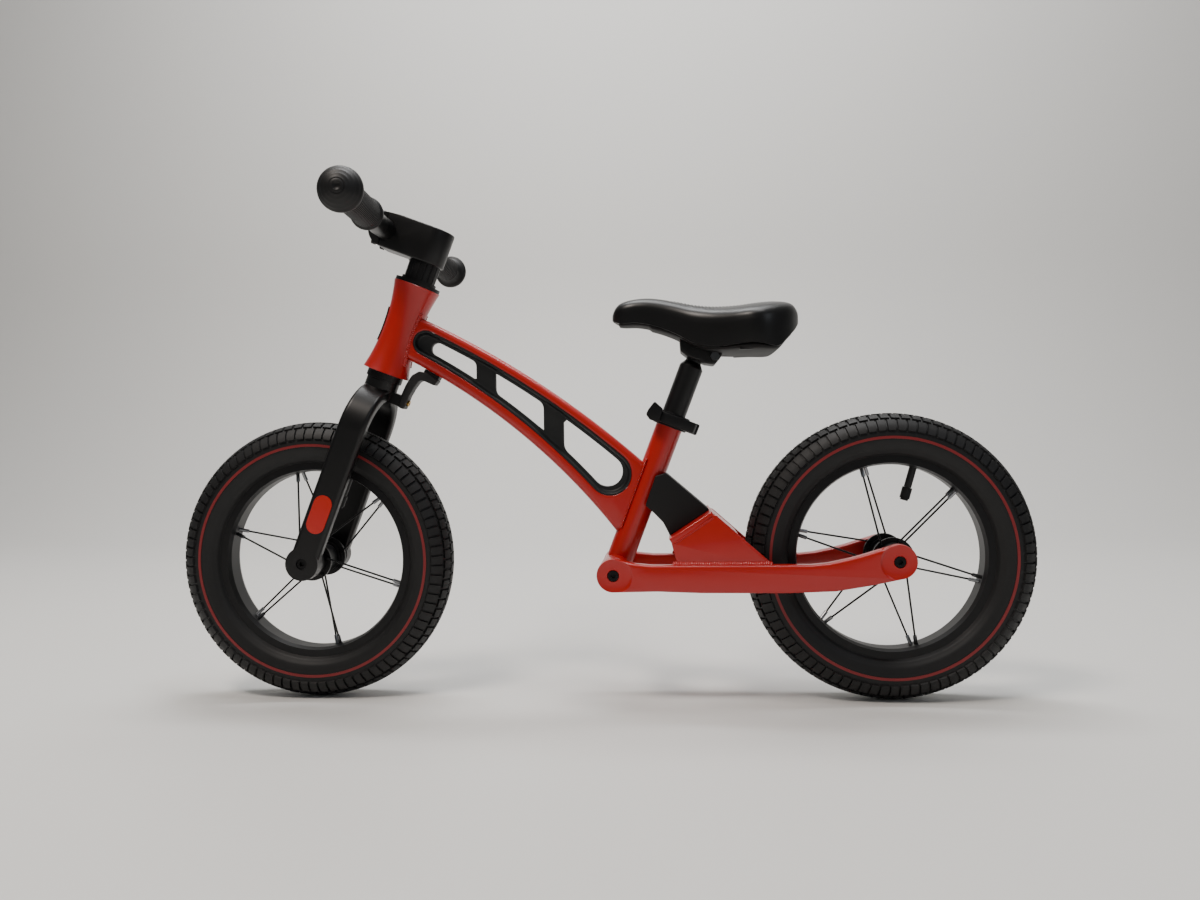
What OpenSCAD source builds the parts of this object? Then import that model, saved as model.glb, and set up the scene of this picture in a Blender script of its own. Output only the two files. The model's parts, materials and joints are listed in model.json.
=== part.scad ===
// Child's balance bike with a sprung rear swingarm, 12 inch pneumatic wheels, no pedals and no brakes.
// +X points to the rear of the bike, +Y to its right-hand side, +Z up. The wheels stand on Z = 0.

/* [Wheels] */
// Outer diameter of the inflated tyres
tyre_d = 301; // [298:0.5:304]
// Width of the tyre section
tyre_w = 50; // [48:0.5:50]
// Distance between the two wheel axles
wheelbase = 616; // [612:1:622]
// Diameter of the spokes
spoke_d = 2; // [1.8:0.1:2.2]

/* [Steering] */
// Lean of the steering axis from vertical, in degrees
head_tilt = 21.2; // [20.5:0.1:22]
// Overall width across the grips
bar_width = 434; // [400:1:440]
// Diameter of the handlebar tube
bar_d = 22.2; // [22:0.1:22.4]
// Backward sweep of each bar end, in degrees
bar_sweep = 6.8; // [6:0.2:9]
// Diameter of the safety knob on each grip
knob_d = 41; // [38:0.2:42]

/* [Fork] */
// Outer diameter of the steerer tube
steerer_d = 28.6; // [28.4:0.1:28.7]
// Width of each blade seen from the side
blade_w = 30; // [28:0.5:32]
// Thickness of each blade seen from the front
blade_t = 14; // [13.6:0.1:14.2]

/* [Frame] */
// Thickness of the beam from side to side
beam_t = 22; // [20:0.5:24]
// Outer diameter of the seat tube
seat_tube_d = 28.6; // [28.4:0.1:28.8]
// Height of the swingarm pivot above the ground
pivot_z = 137.5; // [136:0.5:139]

/* [Seat] */
// Diameter of the seat post
post_d = 25.4; // [25:0.1:25.6]
// Wall thickness of the seat post
post_wall = 2; // [1.6:0.1:2.4]

/* [Swingarm] */
// Thickness of each arm
arm_t = 14; // [13.6:0.1:14.2]
// Half width of the elastomer block
elastomer_half = 20; // [18:0.5:22]

/* [Hidden] */

fine = 96;
round_fn = 48;
small_fn = 32;

red = [0.72, 0.05, 0.03];
black = [0.03, 0.03, 0.03];
rubber = [0.05, 0.05, 0.055];
grey = [0.12, 0.13, 0.13];
silver = [0.75, 0.75, 0.77];
brass = [0.72, 0.55, 0.25];

wheel_r = tyre_d / 2;
hub_x = wheelbase / 2;
seat_tilt = head_tilt;
pivot_x = 20.5 - 308 + hub_x;

// tyre and rim section
sec_r = tyre_w / 2;
sec_c = wheel_r - sec_r;
tyre_wall = 3.2;
flange_r = 107;
flange_half = 15;
flange_t = 2;
seat_r = 101.5;
rim_in_r = 96.5;
well_r = 98.9;
valve_foot = sec_c - sec_r + tyre_wall + 1.2;
stripe_r = 125;
stripe_w = 2.8;
stripe_t = 0.6;

// hub and lacing
hub_flange_r = 21.5;
hub_barrel_r = 14;
hub_end_r = 16.5;
flange_in = 20;
flange_out = 23;
lace_r = 18.5;
lace_swing = 27;
rim_swing = 1.4;
axle_r = 4.5;
screw_seat_r = 5.8;
run_gap = 0.05;
bearing_r = 13;
bearing_w = 8;
front_hub_half = 34;
rear_hub_half = 37;
fork_in = 37;
arm_in = 40;
head_seat = 6;
front_phase = 42;
rear_phase = 45;
front_valve_at = 68;
rear_valve_at = 74;
valve_len = 30;

// steering column, measured along the steering axis from the front axle
column_low = 218;
column_high = 318;
head_end_r = 25.5;
head_waist_r = 19.5;
bearing_h = 8;
bearing_seat_r = 20.5;
stem_low = 344.5;
stem_high = 383.5;
bar_s = 363.2;
bar_r = -48;
bar_flat = 44;
bar_wall = 2;
bar_inset = 14.5;
stem_body_r = 20;
bar_clamp_r = 19;
pinch_r = -22;
pinch_edge = 11;
cap_sink = 3.2;
screw_hole_r = 2.6;
arch_r = 44;
arch_s = 152;
reflector_s = 56;

// side arcs of the beam: chord ends and rise of each arc
top_a = [-177, 407];
top_b = [52, 252];
top_rise = 9.5;
low_a = [-193, 362];
low_b = [22, 179];
low_rise = 14.5;
beam_round = 6;
liner_front = 13.44;
liner_rear = 23.4;
liner_top = 9;
liner_low = 11.5;
web_top = 16;
web_low = 18;

// seat tube, measured along its axis from the swingarm pivot
tube_top = 176;
band_low = 163;
band_high = 178;
band_r = 18.4;
ear_r = 23.5;
lever_y = -16;
post_low = 80;
post_high = 231;
neck_r = 8.5;
neck_len = 21;

function arc_centre(a, b, rise) =
  let (c = b - a, len = norm(c), n = [-c[1], c[0]] / len, up = n[1] > 0 ? n : -n, r = arc_radius(a, b, rise))
  (a + b) / 2 + up * (rise - r);
function arc_radius(a, b, rise) = let (len = norm(b - a)) (len * len / 4 + rise * rise) / (2 * rise);

top_c = arc_centre(top_a, top_b, top_rise);
top_R = arc_radius(top_a, top_b, top_rise);
low_c = arc_centre(low_a, low_b, low_rise);
low_R = arc_radius(low_a, low_b, low_rise);

// centre of a circle of radius r that touches both arcs once they are drawn in by dt and dl
function touch(r, dt, dl) =
  let (ra = top_R - dt - r, rb = low_R + dl + r, d = low_c - top_c, dist = norm(d),
       k = (dist * dist + ra * ra - rb * rb) / (2 * dist), h = sqrt(max(0, ra * ra - k * k)),
       e = d / dist, base = top_c + e * k, p = base + [-e[1], e[0]] * h, q = base - [-e[1], e[0]] * h)
  p[0] > q[0] ? p : q;

module steer() {
  translate([-hub_x, 0, wheel_r]) rotate([0, head_tilt, 0]) children();
}

module seat_line() {
  translate([pivot_x, 0, pivot_z]) rotate([0, seat_tilt, 0]) children();
}

// local +Z points to the near (left) side, local +Y up
module side(x, z) {
  translate([x, 0, z]) rotate([90, 0, 0]) children();
}

module across(r, half) {
  cylinder(r = r, h = 2 * half, center = true, $fn = round_fn);
}

module arc_slot(r1, r2, dt, dl) {
  p = touch(r1, dt, dl);
  q = touch(r2, dt, dl);
  far = 60;
  pt = top_c + (p - top_c) / norm(p - top_c) * (top_R - dt);
  pl = low_c + (p - low_c) / norm(p - low_c) * (low_R + dl);
  qt = top_c + (q - top_c) / norm(q - top_c) * (top_R - dt);
  ql = low_c + (q - low_c) / norm(q - low_c) * (low_R + dl);
  translate(p) circle(r = r1, $fn = round_fn);
  translate(q) circle(r = r2, $fn = round_fn);
  intersection() {
    difference() {
      translate(top_c) circle(r = top_R - dt, $fn = 720);
      translate(low_c) circle(r = low_R + dl, $fn = 720);
    }
    polygon([pl, pt, pt + (pt - pl) / norm(pt - pl) * far, qt + (qt - ql) / norm(qt - ql) * far,
             qt, ql, ql + (ql - qt) / norm(ql - qt) * far, pl + (pl - pt) / norm(pl - pt) * far]);
  }
}

// upright corner of a window: low and to the rear for k = 1, high and to the front for k = -1
module slot_corner(r, k) {
  c = touch(r, web_top, web_low);
  intersection() {
    difference() {
      translate(top_c) circle(r = top_R - web_top, $fn = 720);
      translate(low_c) circle(r = low_R + web_low, $fn = 720);
    }
    polygon([c - [k * r / 2, 0], c + [k * r, 0], c + [k * r, -k * 3 * r], c - [k * r / 2, k * 3 * r]]);
  }
}

// opening of the beam that the plastic liner fills, drawn in by d
module liner_slot(d) {
  arc_slot(liner_front - d, liner_rear - d, liner_top + d, liner_low + d);
}

module head_outline() {
  mid = (column_low + column_high) / 2;
  half = (column_high - column_low) / 2;
  dip = head_end_r - head_waist_r;
  big = (half * half + dip * dip) / (2 * dip);
  difference() {
    translate([0, column_low]) square([head_end_r, column_high - column_low]);
    translate([head_waist_r + big, mid]) circle(r = big, $fn = 360);
  }
}

module beam_side() {
  intersection() {
    difference() {
      translate(top_c) circle(r = top_R, $fn = 720);
      translate(low_c) circle(r = low_R, $fn = 720);
    }
    polygon([[-235, 335], [-197, 436], [-60, 400], [70, 262], [18, 160], [-60, 200]]);
  }
}

module beam() {
  difference() {
    intersection() {
      side(0, 0) linear_extrude(height = beam_t, center = true) beam_side();
      side(top_c[0], top_c[1]) rotate_extrude($fn = 720) {
        square([top_R - beam_round, beam_t / 2]);
        translate([0, -beam_t / 2]) square([top_R - beam_round, beam_t / 2]);
        translate([0, -beam_t / 2 + beam_round]) square([top_R, beam_t - 2 * beam_round]);
        translate([top_R - beam_round, beam_t / 2 - beam_round]) circle(r = beam_round, $fn = small_fn);
        translate([top_R - beam_round, -beam_t / 2 + beam_round]) circle(r = beam_round, $fn = small_fn);
      }
    }
    side(low_c[0], low_c[1]) rotate_extrude($fn = 720) difference() {
      translate([low_R - 5, -beam_t]) square([5 + beam_round, 2 * beam_t]);
      translate([low_R, -beam_t / 2 + beam_round]) square([beam_round + 1, beam_t - 2 * beam_round]);
      translate([low_R + beam_round, beam_t / 2 - beam_round]) circle(r = beam_round, $fn = small_fn);
      translate([low_R + beam_round, -beam_t / 2 + beam_round]) circle(r = beam_round, $fn = small_fn);
    }
  }
}

module main_frame() {
  color(red) difference() {
    union() {
      steer() rotate_extrude($fn = fine) head_outline();
      beam();
      seat_line() cylinder(d = seat_tube_d, h = tube_top, $fn = fine);
      side(pivot_x, pivot_z) cylinder(r = 17, h = 2 * (arm_in - 0.4), center = true, $fn = fine);
    }
    steer() translate([0, 0, column_low - 1]) cylinder(r = 16.5, h = 102, $fn = fine);
    steer() translate([0, 0, column_low - 1]) cylinder(r = bearing_seat_r, h = bearing_h + 1, $fn = fine);
    steer() translate([0, 0, column_high - bearing_h]) cylinder(r = bearing_seat_r, h = bearing_h + 1, $fn = fine);
    seat_line() translate([0, 0, 22]) cylinder(d = post_d + 0.1, h = tube_top, $fn = fine);
    seat_line() translate([0, -1, tube_top - 30]) cube([seat_tube_d, 2, 31]);
    side(0, 0) linear_extrude(height = beam_t + 2, center = true) liner_slot(0);
    side(pivot_x, pivot_z) across(8, arm_in + 1);
  }
}

// underside of the beam just behind the head tube, local +Z out of the beam
module anchor_spot() {
  translate([-176, 0, 352.3]) rotate([0, 180 + 30, 0]) children();
}

module insert_half() {
  depth = beam_t / 2 - 0.3;
  web = 3.5;
  windows = [[6.95, 7.9, 0, 1], [9.35, 10.9, 1, 1], [13.8, 16.4, 1, 0]];
  difference() {
    linear_extrude(height = depth) liner_slot(0.2);
    translate([0, 0, web]) linear_extrude(height = depth) liner_slot(4.2);
    translate([0, 0, web + 3]) linear_extrude(height = depth) liner_slot(2.2);
    for (w = windows)
      translate([0, 0, -1]) linear_extrude(height = web + 2) {
        arc_slot(w[0], w[1], web_top, web_low);
        if (w[2] > 0) slot_corner(w[0], -1);
        if (w[3] > 0) slot_corner(w[1], 1);
      }
  }
}

module beam_insert_left() {
  color(grey) side(0, 0) translate([0, 0, 0.05]) insert_half();
}

module beam_insert_right() {
  color(grey) mirror([0, 1, 0]) beam_insert_left();
}

module head_badge() {
  mid = (column_low + column_high) / 2;
  half = (column_high - column_low) / 2;
  dip = head_end_r - head_waist_r;
  big = (half * half + dip * dip) / (2 * dip);
  color(black) steer() rotate([0, 0, 180 - 26]) rotate_extrude(angle = 52, $fn = fine) intersection() {
    difference() {
      translate([head_waist_r + big, mid]) circle(r = big, $fn = 360);
      translate([head_waist_r + big, mid]) circle(r = big - 1.2, $fn = 360);
    }
    translate([head_waist_r, mid - 19]) square([6, 38]);
  }
}

module headset_bearings() {
  color(silver) steer() for (s = [column_low, column_high - bearing_h])
    translate([0, 0, s]) difference() {
      cylinder(r = bearing_seat_r - 0.02, h = bearing_h, $fn = fine);
      translate([0, 0, -1]) cylinder(d = steerer_d + 2 * run_gap, h = bearing_h + 2, $fn = fine);
    }
}

module headset_cap() {
  color(black) steer() translate([0, 0, column_high + 0.3]) difference() {
    union() {
      cylinder(r = 24.6, h = 3.6, $fn = fine);
      cylinder(r = 19, h = 7, $fn = fine);
    }
    translate([0, 0, -1]) cylinder(d = steerer_d + 0.1, h = 9, $fn = fine);
  }
}

module crown_race() {
  color(black) steer() translate([0, 0, 210.2]) difference() {
    cylinder(r = 19.5, h = 7.5, $fn = fine);
    translate([0, 0, -1]) cylinder(d = steerer_d + 0.1, h = 10, $fn = fine);
  }
}

module stem_spacer() {
  color(black) steer() translate([0, 0, column_high + 7.4]) difference() {
    cylinder(r = 17, h = stem_low - column_high - 7.5, $fn = fine);
    translate([0, 0, -1]) cylinder(d = steerer_d + 0.1, h = 30, $fn = fine);
    for (k = [0:15])
      rotate([0, 0, k * 22.5]) translate([17.5, 0, -1]) cylinder(r = 1.2, h = 30, $fn = 16);
  }
}

module stem() {
  body_h = stem_high - stem_low;
  color(black) steer() difference() {
    union() {
      translate([0, 0, stem_low]) cylinder(r = stem_body_r, h = body_h, $fn = fine);
      translate([bar_r + 2, -stem_body_r + 0.1, stem_low]) cube([-bar_r - 2, 2 * stem_body_r - 0.2, body_h]);
      translate([bar_r, 0, bar_s]) rotate([90, 0, 0]) cylinder(r = bar_clamp_r, h = 40, center = true, $fn = fine);
    }
    translate([0, 0, stem_low - 1]) cylinder(d = steerer_d + 0.1, h = body_h + 2, $fn = fine);
    translate([0, 0, stem_high - cap_sink]) cylinder(r = 17.8, h = 5, $fn = fine);
    translate([bar_r, 0, bar_s]) rotate([90, 0, 0]) cylinder(d = bar_d + 0.1, h = 50, center = true, $fn = fine);
    translate([bar_r - 30, -25, bar_s - 30]) cube([28.5, 50, 60]);
    translate([-31, -0.8, stem_low - 1]) cube([20, 1.6, body_h + 2]);
    pinch_spots() {
      cylinder(r = screw_hole_r, h = 24, $fn = small_fn);
      translate([0, 0, -6]) cylinder(r = 4.6, h = 6, $fn = small_fn);
    }
    plate_spots() cylinder(r = screw_hole_r, h = 18, $fn = small_fn);
  }
}

// the two cross screws that close the stem on the steerer, local +Z to the left
module pinch_spots() {
  for (s = [stem_low + pinch_edge, stem_high - pinch_edge])
    translate([pinch_r, 16, s]) rotate([90, 0, 0]) {
      children(0);
      if ($children > 1) children(1);
    }
}

// the four screw positions of the handlebar clamp, local +Z to the rear
module plate_spots() {
  for (y = [-14.5, 14.5])
    for (s = [bar_s - 14.8, bar_s + 14.8])
      translate([bar_r - 8, y, s]) rotate([0, 90, 0]) children();
}

module stem_faceplate() {
  color(black) steer() difference() {
    intersection() {
      translate([bar_r, 0, bar_s]) rotate([90, 0, 0]) cylinder(r = bar_clamp_r, h = 40, center = true, $fn = fine);
      translate([bar_r - 30, -25, bar_s - 30]) cube([27.7, 50, 60]);
    }
    translate([bar_r, 0, bar_s]) rotate([90, 0, 0]) cylinder(d = bar_d + 0.1, h = 50, center = true, $fn = fine);
    plate_spots() translate([0, 0, -1]) cylinder(r = screw_hole_r, h = 18, $fn = small_fn);
    plate_spots() translate([0, 0, -12]) cylinder(r = 4.6, h = 13, $fn = small_fn);
  }
}

module socket_screw(r, head_r, head_h, len, key) {
  difference() {
    union() {
      translate([0, 0, -head_h]) cylinder(r = head_r, h = head_h, $fn = small_fn);
      cylinder(r = r, h = len, $fn = small_fn);
    }
    translate([0, 0, -head_h - 1]) cylinder(d = key, h = head_h * 0.6 + 1, $fn = 6);
  }
}

module faceplate_bolts() {
  color(silver) steer() plate_spots() translate([0, 0, 0.95]) socket_screw(2.5, 4.2, 4, 14, 4.4);
}

module stem_bolts() {
  color(silver) steer() pinch_spots() translate([0, 0, -0.05]) socket_screw(2.5, 4.2, 3.9, 22, 4.4);
}

module stem_cap() {
  color(black) steer() translate([0, 0, stem_high - cap_sink + 0.1]) difference() {
    cylinder(r = 17.5, h = 3, $fn = fine);
    translate([0, 0, -1]) cylinder(r = 3.1, h = 6, $fn = small_fn);
    translate([0, 0, 1.2]) cylinder(r = 5.8, h = 3, $fn = small_fn);
  }
}

module stem_cap_bolt() {
  color(silver) steer() translate([0, 0, stem_high - cap_sink + 1.35]) rotate([180, 0, 0])
    socket_screw(3, 5.4, 1.6, 20, 4);
}

// three straight lengths that meet at a mitre in each bend; past carries them through it
module bar_path(r, out) {
  half_end = bar_width / 2 - bar_inset;
  run = (half_end - bar_flat) / cos(bar_sweep);
  translate([bar_r, 0, bar_s]) rotate([90, 0, 0]) cylinder(r = r, h = 2 * bar_flat, center = true, $fn = round_fn);
  for (m = [0, 1]) mirror([0, m, 0]) {
    bar_end() translate([0, 0, -run]) cylinder(r = r, h = run + out, $fn = round_fn);
    translate([bar_r, bar_flat, bar_s]) sphere(r = r + 0.12, $fn = round_fn);
  }
}

// right-hand end of the bar, local +Z outwards along the tube
module bar_end() {
  half_end = bar_width / 2 - bar_inset;
  translate([bar_r + (half_end - bar_flat) * tan(bar_sweep), half_end, bar_s])
    rotate([-90, 0, 0]) rotate([0, bar_sweep, 0]) children();
}

module handlebar() {
  color(black) steer() difference() {
    bar_path(bar_d / 2, 0);
    bar_path(bar_d / 2 - bar_wall, 1);
  }
}

module grip() {
  dome_r = 22.3;
  dome_top = 14.5;
  bar_end() difference() {
    rotate_extrude($fn = fine) {
      translate([0, -104]) square([14.4, 106]);
      translate([0, -108]) square([16.5, 4.2]);
      intersection() {
        translate([0, dome_top - dome_r]) circle(r = dome_r, $fn = fine);
        translate([0, -4]) square([knob_d / 2, dome_top + 4]);
      }
    }
    translate([0, 0, -109]) cylinder(d = bar_d + 0.1, h = 109.2, $fn = round_fn);
    translate([0, 0, dome_top - 1.5]) cylinder(r = 3, h = 3, $fn = small_fn);
  }
}

module grip_right() {
  color(rubber) steer() grip();
}

module grip_left() {
  color(rubber) mirror([0, 1, 0]) grip_right();
}

module blade_section() {
  edge = 4.5;
  translate([arch_r - blade_t / 2, -blade_w / 2 + edge]) square([blade_t, blade_w - 2 * edge]);
  translate([arch_r - blade_t / 2 + edge, -blade_w / 2]) square([blade_t - 2 * edge, blade_w]);
  for (x = [arch_r - blade_t / 2 + edge, arch_r + blade_t / 2 - edge])
    for (y = [-blade_w / 2 + edge, blade_w / 2 - edge])
      translate([x, y]) circle(r = edge, $fn = small_fn);
}

module fork() {
  out = fork_in + blade_t;
  color(black) steer() difference() {
    union() {
      translate([0, 0, arch_s]) rotate([0, 0, 90]) rotate([90, 0, 0]) rotate_extrude(angle = 180, $fn = fine) blade_section();
      for (m = [0, 1]) mirror([0, m, 0]) {
        rotate([0, 0, 90]) linear_extrude(height = arch_s) blade_section();
        translate([0, fork_in, 0]) rotate([-90, 0, 0]) cylinder(r = 17.6, h = blade_t, $fn = fine);
      }
      translate([0, 0, 190]) cylinder(r = 18, h = 20, $fn = fine);
      translate([0, 0, 200]) cylinder(d = steerer_d, h = stem_high - 204, $fn = fine);
      translate([12, -8, 189]) cube([15, 16, 12]);
    }
    translate([0, 0, 192]) cylinder(r = 11.8, h = 200, $fn = fine);
    rotate([90, 0, 0]) across(axle_r + 0.02, out + 1);
    for (m = [0, 1]) mirror([0, m, 0]) {
      translate([0, out - head_seat, 0]) rotate([-90, 0, 0]) cylinder(r = screw_seat_r, h = head_seat + 1, $fn = small_fn);
      translate([0, out - 0.8, reflector_s]) rotate([-90, 0, 0]) linear_extrude(height = 2) reflector_shape(10.2, 42.6);
    }
    translate([18.5, 0, 195]) rotate([0, 90, 0]) cylinder(r = 2, h = 12, $fn = small_fn);
  }
}

module reflector_shape(half, len) {
  square([2 * half, len - 2 * half], center = true);
  for (k = [-1, 1])
    translate([0, k * (len / 2 - half)]) circle(r = half, $fn = round_fn);
}

module fork_reflectors() {
  out = fork_in + blade_t;
  color(red) steer() for (m = [0, 1]) mirror([0, m, 0])
    translate([0, out - 0.75, reflector_s]) rotate([-90, 0, 0]) linear_extrude(height = 1.35) reflector_shape(10, 42.2);
}

module axle_rod(end, from, to) {
  difference() {
    union() {
      across(axle_r, end);
      if (to > from)
        for (m = [0, 1]) mirror([0, 0, m]) translate([0, 0, from]) cylinder(r = 7.8, h = to - from, $fn = small_fn);
    }
    for (m = [0, 1]) mirror([0, 0, m]) translate([0, 0, end - 24]) cylinder(r = 3.05, h = 26, $fn = small_fn);
  }
}

module axle_screws(end) {
  for (m = [0, 1]) mirror([0, 0, m]) translate([0, 0, end + 0.1]) rotate([180, 0, 0]) socket_screw(3, 5.5, 4.6, 22, 5.4);
}

module front_axle() {
  color(silver) side(-hub_x, wheel_r)
    axle_rod(fork_in + blade_t - head_seat - 0.1, front_hub_half + 0.35, fork_in - 0.05);
}

module front_axle_bolts() {
  color(black) side(-hub_x, wheel_r) axle_screws(fork_in + blade_t - head_seat);
}

module tyre(x) {
  side(x, wheel_r) rotate_extrude($fn = fine) difference() {
    union() {
      translate([sec_c, 0]) circle(r = sec_r, $fn = fine);
      for (k = [-1, 1])
        translate([seat_r + 0.1, k * 10.9 - 1.9]) square([7.4, 3.8]);
    }
    translate([sec_c, 0]) circle(r = sec_r - tyre_wall, $fn = fine);
    translate([seat_r - 3, -9]) square([12, 18]);
    for (k = [-1, 1]) {
      translate([seat_r - 4, k > 0 ? flange_half - flange_t - 0.15 : -flange_half + flange_t + 0.15 - 10])
        square([flange_r + 0.15 - seat_r + 4, 10]);
      translate([stripe_r - stripe_w / 2 - 0.05, k > 0 ? sec_r - stripe_t - 0.1 : -sec_r + stripe_t + 0.1 - 2])
        square([stripe_w + 0.1, 2]);
    }
    translate([seat_r - 6, -30]) square([6.05, 60]);
  }
}

module stripes(x) {
  side(x, wheel_r) rotate_extrude($fn = fine)
    for (k = [-1, 1])
      translate([stripe_r - stripe_w / 2, k > 0 ? sec_r - stripe_t : -sec_r]) square([stripe_w, stripe_t]);
}

// inner tube with its valve stem, which is bonded to it
module tube(x, angle) {
  side(x, wheel_r) {
    rotate_extrude($fn = fine) translate([sec_c + 0.1, 0]) difference() {
      circle(r = sec_r - tyre_wall - 0.2, $fn = round_fn);
      circle(r = sec_r - tyre_wall - 1.7, $fn = round_fn);
    }
    rotate([0, 0, angle]) translate([valve_foot, 0, 0]) rotate([0, -90, 0]) {
      cylinder(r = 3.9, h = valve_len, $fn = small_fn);
      cylinder(r = 2.6, h = valve_len + 9, $fn = small_fn);
    }
  }
}

// straight piece along the line of one spoke, from the hub end at 0 to 1 at the rim
module along(phase, k, sgn, from, to) {
  a0 = phase + k * 60 + sgn * lace_swing;
  a1 = phase + k * 60 + sgn * rim_swing;
  p = [lace_r * cos(a0), lace_r * sin(a0), sgn * (flange_out + 2.2)];
  q = [rim_in_r * cos(a1), rim_in_r * sin(a1), sgn * 1.6];
  d = q - p;
  len = norm(d);
  translate(p + d / len * from) rotate([0, acos(d[2] / len), atan2(d[1], d[0])])
    children();
}

function spoke_len() =
  let (a0 = lace_swing, a1 = rim_swing,
       p = [lace_r * cos(a0), lace_r * sin(a0), flange_out + 2.2],
       q = [rim_in_r * cos(a1), rim_in_r * sin(a1), 1.6])
  norm(q - p);

module each_spoke() {
  for (k = [0:5])
    for (sgn = [-1, 1]) {
      $k = k;
      $sgn = sgn;
      children();
    }
}

module spokes(x, phase) {
  side(x, wheel_r) each_spoke() {
    along(phase, $k, $sgn, 0, 1) cylinder(d = spoke_d, h = spoke_len() + 1, $fn = 16);
    rotate([0, 0, phase + $k * 60 + $sgn * lace_swing]) translate([lace_r, 0, $sgn * (flange_out + 2.2)]) {
      sphere(d = spoke_d + 0.3, $fn = 16);
      mirror([0, 0, $sgn > 0 ? 1 : 0]) cylinder(d = spoke_d, h = 6.4, $fn = 16);
    }
    rotate([0, 0, phase + $k * 60 + $sgn * lace_swing]) translate([lace_r, 0, $sgn * (flange_in - 0.8)])
      cylinder(r = 1.9, h = 1.2, center = true, $fn = 16);
  }
}

module nipples(x, phase) {
  side(x, wheel_r) each_spoke()
    along(phase, $k, $sgn, spoke_len() - 9.5, 1) difference() {
      cylinder(r = 2, h = 11.3, $fn = small_fn);
      translate([0, 0, -1]) cylinder(d = spoke_d + 0.1, h = 14, $fn = 16);
    }
}

module rim(x, phase, valve) {
  side(x, wheel_r) difference() {
    rotate_extrude($fn = fine) polygon([
      [rim_in_r, -9], [rim_in_r + 2, -flange_half], [flange_r, -flange_half], [flange_r, -flange_half + flange_t],
      [seat_r, -flange_half + flange_t], [seat_r, -8.5], [well_r, -7], [well_r, 7], [seat_r, 8.5],
      [seat_r, flange_half - flange_t], [flange_r, flange_half - flange_t], [flange_r, flange_half],
      [rim_in_r + 2, flange_half], [rim_in_r, 9]]);
    each_spoke() along(phase, $k, $sgn, spoke_len() - 4, 1) cylinder(r = 2.1, h = 12, $fn = small_fn);
    rotate([0, 0, valve]) translate([rim_in_r - 4, 0, 0]) rotate([0, 90, 0]) cylinder(r = 4.1, h = 12, $fn = small_fn);
  }
}

module hub(x, half, phase) {
  side(x, wheel_r) difference() {
    rotate_extrude($fn = fine) {
      translate([0, -half]) square([hub_end_r, 2 * half]);
      for (k = [-1, 1]) {
        translate([0, k > 0 ? flange_in : -flange_out]) square([hub_flange_r, flange_out - flange_in]);
      }
    }
    rotate_extrude($fn = fine) translate([hub_barrel_r, -flange_in + 3]) square([6, 2 * flange_in - 6]);
    cylinder(r = 7, h = 2 * half + 2, center = true, $fn = round_fn);
    for (m = [0, 1]) mirror([0, 0, m])
      translate([0, 0, half - bearing_w - 0.2]) cylinder(r = bearing_r + 0.02, h = bearing_w + 2, $fn = round_fn);
    each_spoke() rotate([0, 0, phase + $k * 60 + $sgn * lace_swing])
      translate([lace_r, 0, $sgn * (flange_in + flange_out) / 2]) cylinder(r = 1.25, h = 5, center = true, $fn = 16);
  }
}

module bearings(x, half) {
  side(x, wheel_r) for (m = [0, 1]) mirror([0, 0, m])
    translate([0, 0, half - bearing_w]) difference() {
      cylinder(r = bearing_r, h = bearing_w, $fn = round_fn);
      translate([0, 0, -1]) cylinder(r = axle_r + run_gap, h = bearing_w + 2, $fn = round_fn);
      translate([0, 0, bearing_w - 0.6]) difference() {
        cylinder(r = 11, h = 1, $fn = round_fn);
        cylinder(r = 7.4, h = 3, center = true, $fn = round_fn);
      }
    }
}

module valve_cap(x, angle) {
  side(x, wheel_r) rotate([0, 0, angle]) translate([valve_foot - valve_len - 0.2, 0, 0]) rotate([0, -90, 0])
    difference() {
      union() {
        cylinder(r = 5.2, h = 12, $fn = small_fn);
        cylinder(r = 4, h = 14, $fn = small_fn);
      }
      translate([0, 0, -1]) cylinder(r = 2.7, h = 11, $fn = small_fn);
    }
}

module front_tyre() { color(rubber) tyre(-hub_x); }
module front_tyre_stripes() { color(red) stripes(-hub_x); }
module front_inner_tube() { color(rubber) tube(-hub_x, front_valve_at); }
module front_rim() { color(black) rim(-hub_x, front_phase, front_valve_at); }
module front_hub() { color(black) hub(-hub_x, front_hub_half, front_phase); }
module front_spokes() { color(black) spokes(-hub_x, front_phase); }
module front_nipples() { color(silver) nipples(-hub_x, front_phase); }
module front_bearings() { color(silver) bearings(-hub_x, front_hub_half); }
module front_valve_cap() { color(black) valve_cap(-hub_x, front_valve_at); }

module rear_tyre() { color(rubber) tyre(hub_x); }
module rear_tyre_stripes() { color(red) stripes(hub_x); }
module rear_inner_tube() { color(rubber) tube(hub_x, rear_valve_at); }
module rear_rim() { color(black) rim(hub_x, rear_phase, rear_valve_at); }
module rear_hub() { color(black) hub(hub_x, rear_hub_half, rear_phase); }
module rear_spokes() { color(black) spokes(hub_x, rear_phase); }
module rear_nipples() { color(silver) nipples(hub_x, rear_phase); }
module rear_bearings() { color(silver) bearings(hub_x, rear_hub_half); }
module rear_valve_cap() { color(black) valve_cap(hub_x, rear_valve_at); }

module rear_axle() {
  color(silver) side(hub_x, wheel_r)
    axle_rod(arm_in + arm_t - head_seat - 0.1, rear_hub_half + 0.35, arm_in - 0.05);
}

module rear_axle_bolts() {
  color(black) side(hub_x, wheel_r) axle_screws(arm_in + arm_t - head_seat);
}

module pivot_axle() {
  color(silver) side(pivot_x, pivot_z) axle_rod(arm_in + arm_t - head_seat - 0.1, 0, 0);
}

module pivot_bolts() {
  color(black) side(pivot_x, pivot_z) axle_screws(arm_in + arm_t - head_seat);
}

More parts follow.
